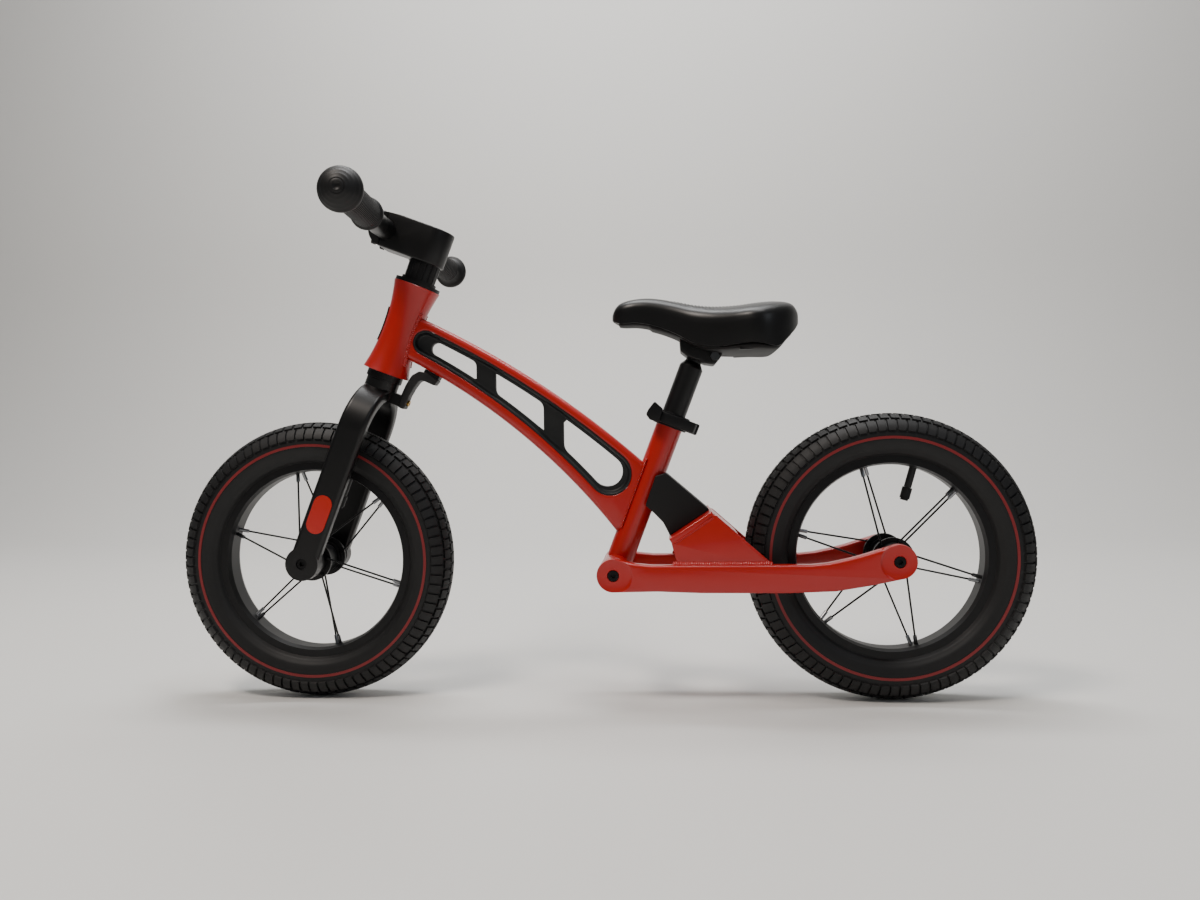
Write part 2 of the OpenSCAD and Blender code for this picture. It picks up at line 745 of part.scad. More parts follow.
module pivot_bushes() {
  color(grey) side(pivot_x, pivot_z) for (m = [0, 1]) mirror([0, 0, m])
    translate([0, 0, arm_in - 0.4 - 14]) difference() {
      cylinder(r = 7.98, h = 14, $fn = round_fn);
      translate([0, 0, -1]) cylinder(r = axle_r + run_gap, h = 16, $fn = round_fn);
    }
}

module arm_side() {
  translate([pivot_x, pivot_z]) circle(r = 17.2, $fn = fine);
  translate([hub_x, wheel_r]) circle(r = 17.5, $fn = fine);
  polygon([
    [pivot_x + 2, pivot_z - 17], [65, 121], [155, 119.5], [200, 119.5], [245, 121], [278, 126.5],
    [hub_x + 3, wheel_r - 17.2], [hub_x - 5, wheel_r + 16.8], [hub_x - 20, wheel_r + 12.5], [256, 153.5],
    [238, 149.5], [222, 148], [60, 148], [42, 150], [pivot_x + 4, pivot_z + 16.7]]);
}

module gusset_side() {
  polygon([[88, 140], [82.5, 162], [80.2, 171.3], [121.8, 198.3], [126, 198.7], [182, 149], [182, 140]]);
}

module swingarm() {
  plate_in = 43;
  plate_t = 5;
  color(red) difference() {
    union() {
      for (k = [-1, 1]) {
        side(0, 0) translate([0, 0, k * (arm_in + arm_t / 2)]) linear_extrude(height = arm_t, center = true) arm_side();
        side(0, 0) translate([0, 0, k * (plate_in + plate_t / 2)]) linear_extrude(height = plate_t, center = true)
          gusset_side();
      }
      side(0, 0) linear_extrude(height = 2 * (plate_in + plate_t), center = true)
        polygon([[78, 174.3], [121.5, 202.5], [125, 197], [81.5, 168.8]]);
      side(0, 0) linear_extrude(height = 2 * plate_in + 1, center = true)
        polygon([[119, 200.3], [124, 200.5], [150, 177.4], [147.2, 174.2], [121, 197.4]]);
      side(0, 0) linear_extrude(height = 2 * plate_in + 1, center = true)
        polygon([[81.5, 172.5], [86, 175], [92, 152], [88, 150]]);
    }
    side(hub_x, wheel_r) across(axle_r + 0.02, arm_in + arm_t + 1);
    side(pivot_x, pivot_z) across(axle_r + 0.02, arm_in + arm_t + 1);
    for (p = [[hub_x, wheel_r], [pivot_x, pivot_z]])
      for (m = [0, 1]) mirror([0, m, 0]) side(p[0], p[1])
        translate([0, 0, arm_in + arm_t - head_seat]) cylinder(r = screw_seat_r, h = head_seat + 1, $fn = small_fn);
    yoke_spots() cylinder(r = 2.1, h = 30, center = true, $fn = small_fn);
  }
}

// screw positions through the front plate of the yoke, local +Z into the elastomer
module yoke_spots() {
  for (y = [-9, 9])
    translate([101.5, y, 185.7]) rotate([0, -33, 0]) children();
}

module elastomer_screws() {
  color(black) yoke_spots() translate([0, 0, -3.9]) socket_screw(2, 3.6, 2.4, 14, 3.2);
}

module elastomer() {
  color(rubber) difference() {
    side(0, 0) linear_extrude(height = 2 * elastomer_half, center = true)
      polygon([[53.5, 207], [64.5, 238], [75.5, 241], [120.4, 202.3], [79, 175.5], [72, 189], [62, 199.5]]);
    seat_line() cylinder(d = seat_tube_d + 0.2, h = 140, $fn = fine);
    yoke_spots() cylinder(r = 2.05, h = 30, center = true, $fn = small_fn);
  }
}

module limiter_anchor() {
  color(black) anchor_spot() translate([-9, -6, 0.3]) cube([18, 12, 3.6]);
}

module limiter_strap() {
  half = 5;
  color(rubber) difference() {
    side(0, 0) linear_extrude(height = 2 * half, center = true)
      polygon([[-171.2, 344.3], [-183.4, 351.2], [-190.5, 353.2], [-198, 349], [-204.5, 339.5], [-209.2, 329.9],
               [-214.6, 315.9], [-209.2, 313.8], [-203.8, 327.8], [-198.5, 336.8], [-192.5, 344.2], [-188.5, 346],
               [-184.5, 344.8], [-174, 339.5]]);
    steer() translate([20, 0, 195]) rotate([0, 90, 0]) cylinder(r = 2.3, h = 14, $fn = small_fn);
  }
}

module limiter_screw() {
  color(brass) steer() translate([33.2, 0, 195]) rotate([0, -90, 0]) socket_screw(1.9, 3.2, 3, 14, 3);
}

module seat_clamp() {
  color(black) seat_line() difference() {
    union() {
      translate([0, 0, band_low]) cylinder(r = band_r, h = band_high - band_low, $fn = fine);
      translate([10, -8.5, band_low + 1.5]) cube([20, 17, band_high - band_low - 3]);
    }
    translate([0, 0, band_low - 1]) cylinder(d = seat_tube_d + 0.1, h = tube_top + 0.1 - band_low + 1, $fn = fine);
    translate([0, 0, band_low]) cylinder(d = post_d + 0.3, h = 20, $fn = fine);
    translate([8, -1.2, band_low - 1]) cube([30, 2.4, 20]);
    translate([ear_r, 0, (band_low + band_high) / 2]) rotate([90, 0, 0]) across(2.6, 12);
  }
}

module clamp_skewer() {
  color(silver) seat_line() translate([ear_r, 0, (band_low + band_high) / 2]) rotate([90, 0, 0])
    translate([0, 0, -13]) cylinder(r = 2.5, h = 22.8, $fn = small_fn);
}

module clamp_nut() {
  color(black) seat_line() translate([ear_r, 8.6, (band_low + band_high) / 2]) rotate([-90, 0, 0]) difference() {
    cylinder(r = 6, h = 6, $fn = round_fn);
    translate([0, 0, -1]) cylinder(r = 2.6, h = 5.5, $fn = small_fn);
  }
}

module clamp_lever() {
  mid = (band_low + band_high) / 2;
  color(black) seat_line() {
    translate([ear_r, lever_y, mid - 5.5]) difference() {
      union() {
        cylinder(r = 6.2, h = 11, $fn = round_fn);
        linear_extrude(height = 11)
          polygon([[0, -6.2], [-14, -9.4], [-30, -9], [-42, -6.4], [-42, -1.4], [-30, -3.6], [-14, -4.2], [-4, -1]]);
      }
    }
    translate([ear_r, lever_y, mid - 3.5]) linear_extrude(height = 15)
      polygon([[-38, -7.4], [-50, -3.6], [-51, -0.6], [-48, 0.6], [-37, -2.6]]);
  }
}

module seat_post() {
  color(black) seat_line() difference() {
    union() {
      translate([0, 0, post_low]) cylinder(d = post_d, h = post_high - post_low, $fn = fine);
      translate([0, 0, post_high]) cylinder(r1 = post_d / 2, r2 = neck_r, h = 6, $fn = fine);
      translate([0, 0, post_high]) cylinder(r = neck_r, h = neck_len, $fn = fine);
    }
    translate([0, 0, post_low - 1]) cylinder(d = post_d - 2 * post_wall, h = post_high - post_low - 3, $fn = fine);
  }
}

// outline of the saddle seen from above, drawn in by d
module saddle_plan(d) {
  translate([40, 0]) circle(r = 19.5 - d, $fn = fine);
  translate([175, 0]) circle(r = 42 - d, $fn = fine);
  for (k = [-1, 1])
    translate([165, k * 23]) circle(r = 38 - d, $fn = fine);
  polygon([[40, -19.5 + d], [78, -22 + d], [108, -32 + d], [134, -45.5 + d], [158, -60 + d], [180, -40],
           [180, 40], [158, 60 - d], [134, 45.5 - d], [108, 32 - d], [78, 22 - d], [40, 19.5 - d]]);
}

module saddle_pad() {
  crown_r = 110;
  color(black) intersection() {
    translate([0, 0, 300]) linear_extrude(height = 200) saddle_plan(0);
    side(0, 0) linear_extrude(height = 140, center = true)
      polygon([[20, 401], [20.6, 407], [26.5, 417.2], [40.4, 425.6], [52, 427.4], [64.9, 427.3], [86.3, 423.8],
               [107.5, 418.6], [128.8, 415.8], [150.1, 415.8], [171.3, 418], [192.4, 419.6], [206.5, 419],
               [213.4, 413.5], [217.2, 402], [217.2, 394], [211, 384], [205, 380], [192, 370], [174, 374],
               [155, 374.6], [137, 372.5], [110, 380], [93, 386], [81.5, 390], [64.5, 396.5], [50, 400]]);
    translate([0, 0, 428 - crown_r]) rotate([0, 90, 0]) cylinder(r = crown_r, h = 260, $fn = 180);
  }
}

module clamp_side() {
  polygon([[91.5, 385.2], [92.7, 369.3], [99.7, 363.4], [118.2, 355.8], [128, 354.3], [135.2, 362.6],
           [138.5, 371.4], [110, 379.4]]);
}

module saddle_base() {
  color(grey) difference() {
    intersection() {
      translate([0, 0, 300]) linear_extrude(height = 200) saddle_plan(3.5);
      side(0, 0) linear_extrude(height = 140, center = true)
        polygon([[26, 400.3], [50, 399.7], [64.4, 396.2], [81.4, 389.7], [93, 385.7], [110, 379.7], [137, 372.2],
                 [155, 374.3], [174, 373.7], [192, 369.7], [204, 378.8], [201.5, 374.4], [195.5, 369], [187, 366],
                 [154, 364.6], [132, 364], [110, 372], [95, 381.5], [84, 386], [66, 392.5], [50, 396.5],
                 [30, 397.6]]);
    }
    side(128.5, 363) across(5.6, 22);
    side(0, 0) linear_extrude(height = 34.4, center = true)
      polygon([[91.2, 387], [92.4, 369], [99.5, 363], [118, 355.4], [128, 353.9], [135.6, 362.4], [139, 373],
               [110, 381]]);
  }
}

module saddle_clamp() {
  color(black) difference() {
    side(0, 0) linear_extrude(height = 34, center = true) clamp_side();
    seat_line() translate([0, 0, post_high - 8]) cylinder(r = neck_r + 0.1, h = neck_len + 8.3, $fn = fine);
    seat_line() translate([0, 0, post_high - 8]) cylinder(r = post_d / 2 + 0.4, h = 15, $fn = fine);
    side(128.5, 363) across(3.1, 20);
  }
}

module saddle_bolt() {
  color(silver) side(128.5, 363) {
    across(3, 17.5);
    for (m = [0, 1]) mirror([0, 0, m]) translate([0, 0, 17.2]) cylinder(r = 5, h = 3.2, $fn = 6);
  }
}

main_frame();
beam_insert_left();
beam_insert_right();
head_badge();
headset_bearings();
headset_cap();
crown_race();
seat_clamp();
clamp_skewer();
clamp_nut();
clamp_lever();
pivot_bushes();
elastomer();
elastomer_screws();
limiter_anchor();
limiter_strap();
limiter_screw();
fork();
fork_reflectors();
stem_spacer();
stem();
stem_faceplate();
stem_bolts();
faceplate_bolts();
stem_cap();
stem_cap_bolt();
handlebar();
grip_left();
grip_right();
front_axle();
front_axle_bolts();
front_tyre();
front_tyre_stripes();
front_inner_tube();
front_rim();
front_hub();
front_spokes();
front_nipples();
front_bearings();
front_valve_cap();
swingarm();
pivot_axle();
pivot_bolts();
rear_axle();
rear_axle_bolts();
rear_tyre();
rear_tyre_stripes();
rear_inner_tube();
rear_rim();
rear_hub();
rear_spokes();
rear_nipples();
rear_bearings();
rear_valve_cap();
seat_post();
saddle_clamp();
saddle_bolt();
saddle_base();
saddle_pad();
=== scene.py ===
# %% [markdown]
# # Balance bike: looks
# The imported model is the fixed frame. Every piece below is made in metres in that frame: +X runs to the
# rear of the bike, -Y is its near (left) side and +Z is up. The ground is z = 0.

# %% Imports and frame
import bpy
import bmesh
import json
import math
from mathutils import Matrix, Vector


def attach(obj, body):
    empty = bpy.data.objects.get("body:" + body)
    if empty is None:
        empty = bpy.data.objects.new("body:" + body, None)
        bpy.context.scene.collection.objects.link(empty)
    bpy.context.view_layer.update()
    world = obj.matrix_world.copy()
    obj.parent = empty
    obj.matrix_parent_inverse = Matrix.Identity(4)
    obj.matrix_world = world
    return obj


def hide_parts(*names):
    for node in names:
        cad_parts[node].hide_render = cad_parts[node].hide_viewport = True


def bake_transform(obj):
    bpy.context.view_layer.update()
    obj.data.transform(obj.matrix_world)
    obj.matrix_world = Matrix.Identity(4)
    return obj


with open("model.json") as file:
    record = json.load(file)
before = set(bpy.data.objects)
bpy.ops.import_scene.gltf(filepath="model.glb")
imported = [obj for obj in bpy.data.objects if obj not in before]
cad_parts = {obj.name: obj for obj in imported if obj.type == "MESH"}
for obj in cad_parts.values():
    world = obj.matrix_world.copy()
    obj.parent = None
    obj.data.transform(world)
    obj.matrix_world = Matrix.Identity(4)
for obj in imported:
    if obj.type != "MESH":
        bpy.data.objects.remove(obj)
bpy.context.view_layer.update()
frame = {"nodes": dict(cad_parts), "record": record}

# %% Frames of the real object
MM = 0.001
TILT = math.radians(21.2)
HUB_X, WHEEL_R = 0.308, 0.1505
PIVOT = (0.0205, 0.1375)
STEER = Matrix.Translation((-HUB_X, 0, WHEEL_R)) @ Matrix.Rotation(TILT, 4, "Y")
SEAT = Matrix.Translation((PIVOT[0], 0, PIVOT[1])) @ Matrix.Rotation(TILT, 4, "Y")


def side(x, z):
    """Frame whose local XY plane is the bike's side view, +Z towards the near side."""
    return Matrix.Translation((x, 0, z)) @ Matrix.Rotation(math.pi / 2, 4, "X")


SIDE = side(0, 0)
MIRROR = Matrix.Scale(-1, 4, (0, 1, 0))


# %% [markdown]
# ## Materials
# Each material starts from what the real part is made of: powder coat on aluminium tube, satin black
# paint, anodised alloy, black oxide screws, moulded nylon, natural rubber tyres and a synthetic saddle
# cover. Bump patterns use object coordinates with scales from real millimetres.

# %% Material helpers
def linear(code):
    """A #rrggbb colour as linear RGBA."""
    parts = [int(code[i:i + 2], 16) / 255 for i in (1, 3, 5)]
    return [c / 12.92 if c <= 0.04045 else ((c + 0.055) / 1.055) ** 2.4 for c in parts] + [1.0]


def add(mat, kind, links=None, **settings):
    """Adds one shader node. links maps an input's name to (node, output name)."""
    made = mat.node_tree.nodes.new("ShaderNode" + kind)
    for key, value in settings.items():
        if hasattr(made, key) and key not in made.inputs:
            setattr(made, key, value)
        else:
            made.inputs[key.replace("_", " ")].default_value = value
    for key, (source, output) in (links or {}).items():
        mat.node_tree.links.new(source.outputs[output], made.inputs[key])
    return made


def surface_material(name, code, rough, metallic=0.0, ior=1.5, coat=0.0, coat_rough=0.1, sheen=0.0,
                     grain=(), mottle=0.0, gloss=0.5):
    """A principled material. grain is a list of (size in mm, depth in mm) noise layers."""
    mat = bpy.data.materials.new(name)
    mat.use_nodes = True
    mat.diffuse_color = linear(code)
    shader = mat.node_tree.nodes["Principled BSDF"]
    shader.inputs["Base Color"].default_value = linear(code)
    shader.inputs["Roughness"].default_value = rough
    shader.inputs["Metallic"].default_value = metallic
    shader.inputs["IOR"].default_value = ior
    shader.inputs["Coat Weight"].default_value = coat
    shader.inputs["Coat Roughness"].default_value = coat_rough
    shader.inputs["Sheen Weight"].default_value = sheen
    shader.inputs["Specular IOR Level"].default_value = gloss
    where = add(mat, "TexCoord")
    last = None
    for size, depth in grain:
        noise = add(mat, "TexNoise", {"Vector": (where, "Object")}, Scale=1000 / size, Detail=3.0)
        links = {"Height": (noise, "Fac")}
        if last:
            links["Normal"] = (last, "Normal")
        last = add(mat, "Bump", links, Strength=1.0, Distance=depth * MM)
    if last:
        mat.node_tree.links.new(last.outputs["Normal"], shader.inputs["Normal"])
    if mottle:
        noise = add(mat, "TexNoise", {"Vector": (where, "Object")}, Scale=90.0, Detail=4.0)
        ramp = add(mat, "MapRange", {"Value": (noise, "Fac")}, To_Min=rough - mottle, To_Max=rough + mottle)
        mat.node_tree.links.new(ramp.outputs["Result"], shader.inputs["Roughness"])
    return mat


MATS = {
    "red_paint": surface_material("red powder coat", "#ac0e07", 0.4, coat=0.4, coat_rough=0.07,
                                  grain=[(3.0, 0.02)], mottle=0.03, gloss=0.4),
    "black_paint": surface_material("satin black paint", "#050506", 0.4, coat=0.1, coat_rough=0.25,
                                    grain=[(0.8, 0.012)], mottle=0.04, gloss=0.35),
    "black_alloy": surface_material("black anodised alloy", "#08080a", 0.44, metallic=0.4,
                                    grain=[(0.5, 0.006)]),
    "black_steel": surface_material("black oxide steel", "#141415", 0.38, metallic=0.7, mottle=0.05),
    "steel": surface_material("dull zinc plated steel", "#5c5e61", 0.38, metallic=1.0, mottle=0.05),
    "nipple_metal": surface_material("nickel plate", "#8d8f92", 0.3, metallic=1.0),
    "brass": surface_material("brass", "#b98f42", 0.3, metallic=1.0),
    "insert_plastic": surface_material("textured nylon", "#101213", 0.5, ior=1.52,
                                       grain=[(0.45, 0.03)], gloss=0.4),
    "trim_plastic": surface_material("black nylon", "#050506", 0.5, ior=1.52,
                                     grain=[(0.5, 0.015)], gloss=0.3),
    "base_plastic": surface_material("dark moulded shell", "#08090a", 0.62, ior=1.5,
                                     grain=[(0.5, 0.02)], gloss=0.2),
    "red_trim": surface_material("red gloss plastic", "#b81a0c", 0.25, ior=1.49, coat=0.4),
    "elastomer_rubber": surface_material("elastomer", "#040405", 0.55, ior=1.52,
                                         grain=[(0.7, 0.02)], gloss=0.35),
    "strap_rubber": surface_material("strap rubber", "#09090a", 0.55, ior=1.52, grain=[(0.7, 0.02)]),
    "grip_rubber": surface_material("grip rubber", "#070708", 0.52, ior=1.52, grain=[(0.6, 0.02)], gloss=0.4),
    "tube_rubber": surface_material("butyl rubber", "#0c0c0d", 0.55, ior=1.52),
    "tyre_rubber": surface_material("tyre rubber", "#0b0b0c", 0.58, ior=1.52, grain=[(1.2, 0.05), (0.4, 0.025)],
                                    mottle=0.06, gloss=0.4),
    "stripe_rubber": surface_material("red tyre rubber", "#7a1418", 0.5, ior=1.52, grain=[(0.8, 0.01)]),
    "saddle_cover": surface_material("saddle cover", "#050506", 0.36, ior=1.5, sheen=0.02,
                                     grain=[(0.6, 0.03)], gloss=0.4),
}
SLOTS = {s["node"]: s["material_slot"] for s in frame["record"]["subparts"]}
for name, obj in frame["nodes"].items():
    obj.data.materials.clear()
    obj.data.materials.append(MATS[SLOTS[name]])


# %% [markdown]
# ## Mesh helpers
# Most visible pieces are either a curved skin over two parameters, a turned profile or a plate with
# rounded edges, so three helpers make them all.

# %% Mesh helpers
def metres(points):
    """Pairs in mm as pairs in metres."""
    return [(p[0] * MM, p[1] * MM) for p in points]


def keep(name, bm, body, slot, replaces=(), sharp=40, matrix=None, smooth=True):
    """Turns a bmesh into a finished piece that rides on a body."""
    if matrix:
        bmesh.ops.transform(bm, matrix=matrix, verts=bm.verts)
    bmesh.ops.remove_doubles(bm, verts=bm.verts, dist=1e-6)
    bmesh.ops.recalc_face_normals(bm, faces=bm.faces)
    for f in bm.faces:
        f.smooth = smooth
    for e in bm.edges:
        e.smooth = e.calc_face_angle(0) < math.radians(sharp)
    mesh = bpy.data.meshes.new(name)
    bm.to_mesh(mesh)
    bm.free()
    obj = bpy.data.objects.new(name, mesh)
    bpy.context.scene.collection.objects.link(obj)
    mesh.materials.append(MATS[slot])
    if body:
        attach(obj, body)
    if replaces:
        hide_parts(*replaces)
    print(name, len(mesh.polygons), "faces")
    return obj


def skin(bm, place, nu, nv):
    """A grid of nu by nv cells whose corner (u, v), each 0 to 1, is moved to place(u, v); seams are welded."""
    made = bmesh.ops.create_grid(bm, x_segments=nu, y_segments=nv, size=0.5)
    for v in made["verts"]:
        v.co = Vector(place(round(v.co.x + 0.5, 9), round(v.co.y + 0.5, 9)))
    bmesh.ops.remove_doubles(bm, verts=made["verts"], dist=1e-7)
    return made["verts"]


def turned(bm, profile, steps, matrix=None, angle=2 * math.pi):
    """Spins a closed profile of (radius, height) points round local Z and adds the result to bm."""
    own = bmesh.new()
    verts = [own.verts.new((r, 0, z)) for r, z in profile]
    edges = [own.edges.new((a, b)) for a, b in zip(verts, verts[1:] + verts[:1])]
    bmesh.ops.spin(own, geom=verts + edges, cent=(0, 0, 0), axis=(0, 0, 1), angle=angle, steps=steps,
                   use_duplicate=False)
    bmesh.ops.remove_doubles(own, verts=own.verts, dist=1e-7)
    bmesh.ops.delete(own, geom=[e for e in own.edges if not e.link_faces], context="EDGES")
    if matrix:
        bmesh.ops.transform(own, matrix=matrix, verts=own.verts)
    mesh = bpy.data.meshes.new("turned")
    own.to_mesh(mesh)
    own.free()
    bm.from_mesh(mesh)
    bpy.data.meshes.remove(mesh)


def rounded(points, radii, steps=4):
    """A closed outline with each corner rounded by an arc of its own radius."""
    out = []
    n = len(points)
    for i, p in enumerate(points):
        p, a, b = Vector(p), Vector(points[i - 1]), Vector(points[(i + 1) % n])
        r = radii[i] if hasattr(radii, "__len__") else radii
        d0, d1 = (a - p).normalized(), (b - p).normalized()
        half = math.acos(max(-1, min(1, d0.dot(d1)))) / 2
        if r <= 0 or half > math.radians(88):
            out.append(p)
            continue
        back = min(r / math.tan(half), (a - p).length * 0.45, (b - p).length * 0.45)
        real = back * math.tan(half)
        centre = p + (d0 + d1).normalized() * (real / math.sin(half))
        s0, s1 = p + d0 * back - centre, p + d1 * back - centre
        turn = s0.angle_signed(s1)
        for k in range(steps + 1):
            out.append(centre + Matrix.Rotation(-turn * k / steps, 2) @ s0)
    return out


def plate(bm, outline, low, high, bevel=0.0, segments=3, matrix=SIDE):
    """An outline in local XY filled and drawn out from low to high along local Z, its rims rounded."""
    verts = [bm.verts.new((p[0], p[1], low)) for p in outline]
    face = bm.faces.new(verts)
    up = bmesh.ops.extrude_face_region(bm, geom=[face])
    top = [g for g in up["geom"] if isinstance(g, bmesh.types.BMVert)]
    bmesh.ops.translate(bm, vec=(0, 0, high - low), verts=top)
    all_verts = verts + top
    if bevel:
        rims = [e for e in {e for v in all_verts for e in v.link_edges}
                if abs(e.verts[0].co.z - e.verts[1].co.z) < 1e-9]
        made = bmesh.ops.bevel(bm, geom=rims, offset=bevel, offset_type="OFFSET", segments=segments,
                               profile=0.5, affect="EDGES", material=-1, clamp_overlap=True)
        all_verts = list({v for f in made["faces"] for v in f.verts} | {v for v in all_verts if v.is_valid})
    bmesh.ops.transform(bm, matrix=matrix, verts=all_verts)
    return all_verts


# %% [markdown]
# ## Tyres
# The real tyre is a moulded casing with separate rubber blocks, so the casing is turned and each block is
# its own small tapered cube set into it. The blocks are staggered from row to row.

# %% Tyres
SEC_C, SEC_R = 0.1255, 0.025
BLOCKS = 84


def casing_point(a):
    """Point of the outer casing at section angle a, 0 at the crown."""
    high = 0.0227 if abs(a) < math.pi / 2 else 0.025
    deg = abs(math.degrees(a))
    ring = 0.00045 * math.exp(-((deg - 118) / 3.2) ** 2) + 0.0004 * math.exp(-((deg - 131) / 2.5) ** 2)
    ring += 0.0005 * math.exp(-((deg - 66) / 3.0) ** 2)
    return SEC_C + (high + ring) * math.cos(a), (0.02452 + ring * 0.8) * math.sin(a)


def on_casing(a, turn, high):
    """Point at section angle a, wheel angle turn, raised above the casing."""
    r, z = casing_point(a)
    r, z = r + high * math.cos(a), z + high * math.sin(a)
    return Vector((r * math.cos(turn), r * math.sin(turn), z))


def block_shape():
    """One rubber block, a unit cube cut into three strips across the tread."""
    bm = bmesh.new()
    bmesh.ops.create_cube(bm, size=1.0)
    across = [e for e in bm.edges if abs(e.verts[0].co.x - e.verts[1].co.x) > 0.5]
    bmesh.ops.subdivide_edges(bm, edges=across, cuts=2)
    mesh = bpy.data.meshes.new("block_shape")
    bm.to_mesh(mesh)
    bm.free()
    return mesh


BLOCK = block_shape()


def block(bm, middle, span, turn, length):
    """Wraps one block on to the casing, a little smaller at its top."""
    first = len(bm.verts)
    bm.from_mesh(BLOCK)
    bm.verts.ensure_lookup_table()
    for v in bm.verts[first:]:
        top = v.co.z > 0
        s = 0.88 if top else 1.03
        high = 0.0022 if top else -0.0012
        v.co = on_casing(middle + v.co.x * span * s, turn + v.co.y * length * s, high)


def tyre(name, body, x, replaces):
    """Casing with its bead and inner face turned in one, then five rows of blocks."""
    bm = bmesh.new()
    outer = [casing_point(math.radians(a)) for a in range(-136, 137, 4)]
    inner = [(SEC_C + 0.0215 * math.cos(math.radians(a)), 0.0215 * math.sin(math.radians(a)))
             for a in range(140, -141, -14)]
    bead = [(0.1062, 0.0151), (0.104, 0.0129), (0.1017, 0.0126), (0.1017, 0.0093)]
    profile = outer + bead + inner + [(r, -z) for r, z in reversed(bead)]
    turned(bm, profile, 120)
    rows = [(0, 25, 0.0), (27, 22, 0.5), (-27, 22, 0.5), (59, 34, 0.0), (-59, 34, 0.0)]
    pitch = 2 * math.pi / BLOCKS
    for tip, span, shift in rows:
        for k in range(BLOCKS):
            block(bm, math.radians(tip), math.radians(span), pitch * (k + shift), pitch * 0.86)
    return keep(name, bm, body, "tyre_rubber", [replaces], sharp=32, matrix=side(x, WHEEL_R))


tyre("front_tyre_tread", "front_wheel", -HUB_X, "front_tyre")
tyre("rear_tyre_tread", "rear_wheel", HUB_X, "rear_tyre")

# %% [markdown]
# ## Frame
# The beam is a flat aluminium box pressed from two shells, so it is one closed skin: round the outline in one
# direction and round the wall's rounded section in the other. Outline and window are the same two arcs
# the part uses.

# %% Beam
def arc_centre(a, b, rise):
    """Centre and radius of an upward-bulging arc over the chord a-b."""
    a, b = Vector(a), Vector(b)
    half = (b - a).length / 2
    radius = (half * half + rise * rise) / (2 * rise)
    across = Vector((-(b - a).y, (b - a).x)).normalized()
    if across.y < 0:
        across = -across
    return (a + b) / 2 - across * (radius - rise), radius


# the beam's upper and lower edge in mm: two ends, and how far the edge bulges between them
TOP_C, TOP_R = arc_centre((-177, 407), (52, 252), 9.5)
LOW_C, LOW_R = arc_centre((-193, 362), (22, 179), 14.5)
# the opening that takes the inserts: its end radii, and how far it stays inside the two edges
OPENING_FRONT_R, OPENING_REAR_R = 13.44, 23.4
OPENING_TOP, OPENING_LOW = 9, 11.5


def touch(r, dt, dl):
    """Centre of the circle of radius r that touches both arcs drawn in by dt and dl."""
    ra, rb = TOP_R - dt - r, LOW_R + dl + r
    gap = LOW_C - TOP_C
    dist = gap.length
    k = (dist * dist + ra * ra - rb * rb) / (2 * dist)
    h = math.sqrt(max(0.0, ra * ra - k * k))
    e = gap / dist
    n = Vector((-e.y, e.x))
    p, q = TOP_C + e * k + n * h, TOP_C + e * k - n * h
    return p if p.x > q.x else q


def slot_outline(r1, r2, dt, dl, straight=40, ends=14):
    """Closed outline between the two arcs with round ends, as (point, outward normal)."""
    p, q = touch(r1, dt, dl), touch(r2, dt, dl)
    out = []
    a0, a1 = (math.atan2(c.y - TOP_C.y, c.x - TOP_C.x) for c in (p, q))
    for k in range(straight + 1):
        n = Vector((math.cos(a0 + (a1 - a0) * k / straight), math.sin(a0 + (a1 - a0) * k / straight)))
        out.append((TOP_C + n * (TOP_R - dt), n))
    b0, b1 = (math.atan2(c.y - LOW_C.y, c.x - LOW_C.x) for c in (q, p))
    n0, n1 = Vector((math.cos(a1), math.sin(a1))), -Vector((math.cos(b0), math.sin(b0)))
    out += fan(q, r2, n0, n1, ends)
    for k in range(straight + 1):
        n = -Vector((math.cos(b0 + (b1 - b0) * k / straight), math.sin(b0 + (b1 - b0) * k / straight)))
        out.append((LOW_C - n * (LOW_R + dl), n))
    n2, n3 = -Vector((math.cos(b1), math.sin(b1))), Vector((math.cos(a0), math.sin(a0)))
    out += fan(p, r1, n2, n3, ends)
    return out


def fan(c, r, n0, n1, ends):
    """Points of an end arc between two normals, turning clockwise, the ends themselves left out."""
    t0 = math.atan2(n0.y, n0.x)
    t1 = math.atan2(n1.y, n1.x)
    while t1 > t0:
        t1 -= 2 * math.pi
    turned_by = t1 - t0
    out = []
    for k in range(1, ends):
        n = Vector((math.cos(t0 + turned_by * k / ends), math.sin(t0 + turned_by * k / ends)))
        out.append((c + n * r, n))
    return out


def reach(p, n):
    """Where the ray from p along n first meets the beam's outline: either arc, or the two tube axes."""
    hits = []
    for centre, radius in ((TOP_C, TOP_R), (LOW_C, LOW_R)):
        d = p - centre
        b, c = d.dot(n), d.dot(d) - radius * radius
        disc = b * b - c
        if disc > 0:
            hits += [t for t in (-b - math.sqrt(disc), -b + math.sqrt(disc)) if t > 0.01]
    along = Vector((math.sin(TILT), math.cos(TILT)))
    for foot in ((-308, 150.5), (20.5, 137.5)):
        m = Vector((along.y, -along.x))
        low = n.dot(m)
        if abs(low) > 1e-6:
            t = (Vector(foot) - p).dot(m) / low
            if t > 0.01:
                hits.append(t)
    return p + n * min(hits)


def wall_section(inner_r, outer_r, half, steps=4):
    """Closed section of the wall, as (share from inner to outer edge, offset in mm from that edge, y)."""
    pts = []
    for k in range(steps + 1):
        a = math.pi / 2 * k / steps
        pts.append((1, -outer_r + outer_r * math.cos(a), half - outer_r + outer_r * math.sin(a)))
    pts.append((0, 2.2, half))
    for k in range(steps + 1):
        a = math.pi / 2 + math.pi / 2 * k / steps
        pts.append((0, inner_r + inner_r * math.cos(a), half - inner_r + inner_r * math.sin(a)))
    return pts + [(s, o, -y) for s, o, y in reversed(pts)]


